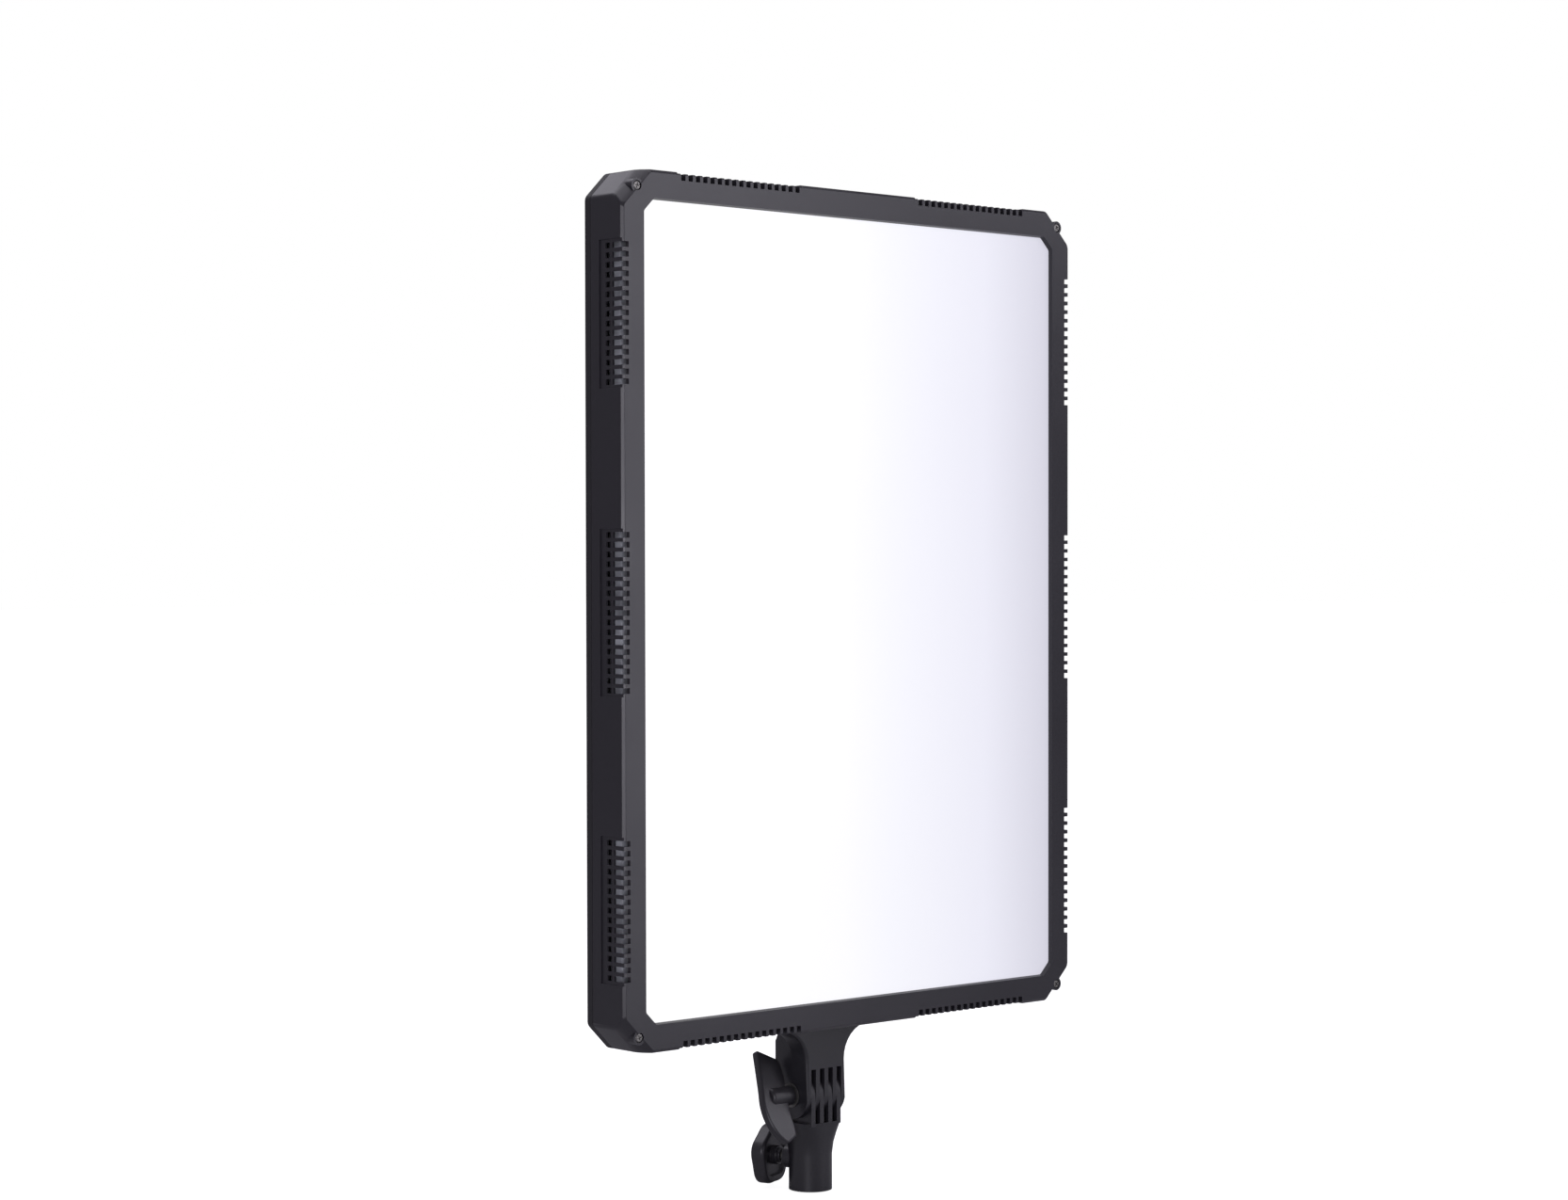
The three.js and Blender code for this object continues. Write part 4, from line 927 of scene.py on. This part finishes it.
lock_knob = make_lock_knob()
for radius, bottom, top in ((7.0, -2.8, 3.5), (5.4, -4.8, 0.0)):
    hub_ring = ring(radius * MM, bottom * MM, top * MM)
    round_edges(hub_ring, 0.5 * MM, segments=3, angle=60)
    boolean(lock_knob, hub_ring, "UNION")
lock_knob.data.transform(lock_place(28 * MM))
outward(lock_knob)
smooth(lock_knob, 40)
hand_over(lock_knob, "lock_knob", "knob_plastic", grip_black, "stand_lock_knob")
print("lock knob has", len(lock_knob.data.polygons), "faces")

# %% [markdown]
# ## The lock screw
# A short stretch of the screw shows between the knob's hub and the socket. Its thread is made from a
# cylinder cut into rings, with every other ring drawn in: at this size that reads as a thread.

# %% Lock screw
def make_lock_screw():
    start = 10.75 * MM
    end = 34.5 * MM
    screw = ring(4.0 * MM, start, end, 40)
    screw.name = "lock_thread"
    select_where(screw, "EDGE", lambda e: abs(edge_ends(screw, e)[0].z - edge_ends(screw, e)[1].z) > 1 * MM)
    bpy.ops.mesh.subdivide(number_cuts=37, quadcorner="INNERVERT")
    leave_edit()
    levels = sorted({round(v.co.z, 6) for v in screw.data.vertices})
    deep = set(levels[2:-2:2])
    for vertex in screw.data.vertices:
        if round(vertex.co.z, 6) in deep:
            vertex.co.x *= 0.87
            vertex.co.y *= 0.87
    screw.data.transform(lock_place(0))
    outward(screw)
    smooth(screw, 25)
    print("lock screw runs from", round(start, 4), "to", round(end, 4))
    return screw


hand_over(make_lock_screw(), "lock_knob", "zinc_steel", zinc, "lock_screw")
for node, body, slot, finish_material in (
    ("lock_insert", "stand", "brass", brass_finish), ("pressure_pad", "lock_thrust", "brass", brass_finish),
    ("lever_insert", "lever", "brass", brass_finish),
):
    hand_over(dress(node, f"{node}_part", 0.15 * MM), body, slot, finish_material, node)

# %% [markdown]
# ## Tilt bolt and washers
# The bolt's hexagon head shows on the right of the neck. Its edges and the washers' rims are turned, so
# a small radius is enough.

# %% Bolt and washers
for node, body, radius in (
    ("tilt_bolt", "panel", 0.4), ("bolt_washer", "panel", 0.2), ("lever_washer", "lever_thrust", 0.2),
):
    hand_over(dress(node, f"{node}_part", radius * MM, smooth_angle=30), body, "zinc_steel", zinc, node)

# %% [markdown]
# ## The control pod
# The pod on the back holds the display, two dials, two keys, the power switch and the power socket. The
# mouldings are CAD copies with rounded edges. The dials are modelled from cylinders, and the keys are
# CAD copies that get a dip.

# %% Pod mouldings
for node, name, radius, segments, angle, body, slot, finish_material in (
    ("control_pod", "pod_case", 0.6, 3, 40, "panel", "pod_plastic", pod_black),
    ("rocker_switch_body", "switch_frame", 0.4, 2, 40, "panel", "knob_plastic", grip_black),
    ("power_rocker", "switch_rocker", 0.5, 3, 30, "power_switch", "knob_plastic", grip_black),
    ("dc_inlet", "power_socket", 0.25, 2, 40, "panel", "port_metal", nickel),
):
    moulding = dress(node, name, radius * MM, segments=segments, angle=angle)
    hand_over(moulding, body, slot, finish_material, node)

# %% [markdown]
# ### Dials
# Each dial is a knurled barrel with a dished end and a white pointer. A cylinder gets its knurl by
# drawing in every other pair of wall edges, and the pointer is a small rounded bar set into the end.

# %% White marking material
mark_white = film("mark_white", (0.75, 0.75, 0.74), 0.5)


def make_dial(node, name, body):
    low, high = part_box(node)
    middle = box_middle(node)
    radius = box_size(node).x / 2
    length = box_size(node).y
    dial = ring(radius, 0.0, length, 96)
    dial.name = name
    for vertex in dial.data.vertices:
        angle = math.atan2(vertex.co.y, vertex.co.x) / (2 * math.pi) * 48
        if round(angle * 2) % 2:
            vertex.co.x *= 0.955
            vertex.co.y *= 0.955
    select_where(dial, "FACE", lambda face: face.normal.z > 0.99)
    bpy.ops.mesh.inset(thickness=1.0 * MM, depth=0.0)
    bpy.ops.mesh.inset(thickness=0.8 * MM, depth=-0.8 * MM)
    leave_edit()
    round_edges(dial, 0.35 * MM, segments=2, angle=50)
    stand = Matrix.Translation((middle.x, low.y, middle.z)) @ Matrix.Rotation(math.radians(-90), 4, "X")
    dial.data.transform(stand)
    outward(dial)
    smooth(dial, 30)
    hand_over(dial, body, "knob_plastic", grip_black, node)
    bpy.ops.object.select_all(action="DESELECT")
    set_in = Vector((middle.x + 0.5 * radius, high.y - 0.75 * MM, middle.z))
    bpy.ops.mesh.primitive_cube_add(size=1.0, location=set_in)
    pointer = bpy.context.active_object
    pointer.name = f"{name}_pointer"
    pointer.scale = (0.5 * radius, 0.5 * MM, 0.9 * MM)
    settle(pointer)
    round_edges(pointer, 0.12 * MM, segments=2)
    smooth(pointer)
    hand_over(pointer, body, "knob_plastic", mark_white)
    return dial


for node, body in (("dimmer_knob", "dimmer_dial"), ("colour_knob", "colour_dial")):
    dial = make_dial(node, node.replace("knob", "dial"), body)
    print(dial.name, "has", len(dial.data.polygons), "faces")

# %% [markdown]
# ### Keys
# The keys are soft rounded caps with a shallow dip for the fingertip. A copy of the CAD cap gets its
# edges rounded, and its top is then inset and pushed in.

# %% Keys
def make_key(node, name, body):
    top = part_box(node)[1].y
    cap = dress(node, name, 0.6 * MM, segments=3, angle=40)
    select_where(cap, "FACE", lambda face: face.normal.y > 0.99 and face.center.y > top - 0.1 * MM)
    bpy.ops.mesh.inset(thickness=1.2 * MM, depth=0.0)
    bpy.ops.mesh.inset(thickness=0.7 * MM, depth=-0.4 * MM)
    leave_edit()
    smooth(cap, 40)
    print(name, "has", len(cap.data.polygons), "faces")
    return hand_over(cap, body, "knob_plastic", grip_black, node)


make_key("mode_button", "mode_key_cap", "mode_key")
make_key("channel_button", "channel_key_cap", "channel_key")

# %% [markdown]
# ### Readout
# The display shows a level and a colour temperature. Each is a line of text turned into a mesh, that
# lies just over the display and glows through the window.

# %% Display
def lay_text(words, size, x, y, z, name):
    bpy.ops.object.select_all(action="DESELECT")
    bpy.ops.object.text_add(location=(0, 0, 0))
    text = bpy.context.active_object
    text.name = name
    text.data.body = words
    text.data.size = size
    text.data.align_x = "CENTER"
    text.data.align_y = "CENTER"
    text.data.extrude = 0.05 * MM
    pick(text)
    bpy.ops.object.convert(target="MESH")
    turn = Matrix.Rotation(math.radians(180), 4, "Z") @ Matrix.Rotation(math.radians(90), 4, "X")
    text.data.transform(Matrix.Translation((x, y, z)) @ turn)
    return text


def make_readout_material():
    material, tree, shader = start_material("readout_glow")
    shader.inputs["Base Color"].default_value = (0.2, 0.5, 0.6, 1.0)
    flicker = spread(tree, noise(tree, 900.0, 1.0, 0.5), 0.3, 0.7)
    glow = mix_colour(tree, flicker, (0.35, 0.75, 0.9, 1.0), (0.5, 0.9, 1.0, 1.0))
    tree.links.new(glow, shader.inputs["Emission Color"])
    shader.inputs["Emission Strength"].default_value = 1.6
    return material


readout_glow = make_readout_material()
screen_low, screen_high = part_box("display_module")
screen_middle = (screen_low + screen_high) / 2
face_y = screen_high.y + 0.08 * MM
for words, size, dx, dz, name in (
    ("75%", 13 * MM, 12 * MM, 5 * MM, "readout_level"), ("5600K", 9 * MM, 8 * MM, -8 * MM, "readout_colour"),
):
    line = lay_text(words, size, screen_middle.x + dx, face_y, screen_middle.z + dz, name)
    hand_over(line, "panel", "display_black", readout_glow)
print("readout at y", round(face_y, 4))

# %% [markdown]
# ## Floor and light
# A pale floor, a pale surround and five soft lamps. The key stands to the right of the light and is
# mirrored by the left part of its front frame, so the frame fades towards the right. One lamp above
# and one behind brighten the cut corners, a small high one picks out the leaning lever, and one beside
# the camera draws lines down the round parts. The side wall stays dark. The surround is white where it
# is seen, and weaker as a light. The floor glows where it is looked at straight on, and only there: it
# comes out as white as the surround and hides most of the shadow, without lighting the object more.

# %% Floor
bpy.ops.object.select_all(action="DESELECT")
bpy.ops.mesh.primitive_plane_add(size=60.0, location=(0, 0, -0.001))
floor = bpy.context.active_object
floor.name = "floor"
floor_material, floor_tree, floor_shader = start_material("floor_paper")
floor_base = place_group(
    floor_tree, moulded_grain, Grain_Scale=300.0, Drift=0.01, Roughness=0.8, Roughness_Spread=0.1,
    Color=(0.55, 0.55, 0.555, 1.0),
)
floor_tree.links.new(floor_base.outputs["Color"], floor_shader.inputs["Base Color"])
floor_tree.links.new(floor_base.outputs["Roughness"], floor_shader.inputs["Roughness"])
floor_seen = floor_tree.nodes.new("ShaderNodeLightPath").outputs["Is Camera Ray"]
floor_tree.links.new(floor_seen, floor_shader.inputs["Emission Color"])
floor_shader.inputs["Emission Strength"].default_value = 0.9
floor.data.materials.append(floor_material)

# %% Lamps and surround
LAMP_TINT = (0.93, 0.91, 1.0)


def add_lamp(name, place, aim, size, power):
    data = bpy.data.lights.new(name, "AREA")
    data.shape = "RECTANGLE"
    data.size, data.size_y = size
    data.energy = power
    data.color = LAMP_TINT
    lamp = bpy.data.objects.new(name, data)
    bpy.context.scene.collection.objects.link(lamp)
    direction = Vector(aim) - Vector(place)
    lamp.visible_camera = False
    lamp.matrix_world = Matrix.Translation(place) @ direction.to_track_quat("-Z", "Y").to_matrix().to_4x4()
    return lamp


add_lamp("key_softbox", (0.5, -0.99, 0.6), (-0.22, 0, 0.5), (0.35, 1.15), 4.2)
add_lamp("top_softbox", (-0.3, 0.2, 2.9), (0, 0, 0.3), (2.4, 1.8), 20.0)
add_lamp("back_softbox", (-0.2, 1.9, 2.6), (0, 0, 0.5), (1.4, 1.2), 9.0)
add_lamp("camera_side_softbox", (-2.0, -1.4, 0.5), (0, 0, 0.3), (0.5, 1.0), 16.0)
add_lamp("high_softbox", (1.3, -0.9, 1.25), (0, 0, 0.1), (0.6, 0.6), 5.0)


def make_surround():
    world = bpy.data.worlds.new("surround")
    world.use_nodes = True
    tree = world.node_tree
    seen = tree.nodes["Background"]
    seen.inputs["Color"].default_value = (1.0, 1.0, 1.0, 1.0)
    seen.inputs["Strength"].default_value = 1.0
    lit = tree.nodes.new("ShaderNodeBackground")
    lit.inputs["Color"].default_value = (0.92, 0.88, 1.0, 1.0)
    lit.inputs["Strength"].default_value = 0.32
    mix = tree.nodes.new("ShaderNodeMixShader")
    tree.links.new(tree.nodes.new("ShaderNodeLightPath").outputs["Is Camera Ray"], mix.inputs[0])
    tree.links.new(lit.outputs[0], mix.inputs[1])
    tree.links.new(seen.outputs[0], mix.inputs[2])
    tree.links.new(mix.outputs[0], tree.nodes["World Output"].inputs["Surface"])
    bpy.context.scene.world = world


make_surround()
bpy.context.scene.view_settings.view_transform = "Standard"
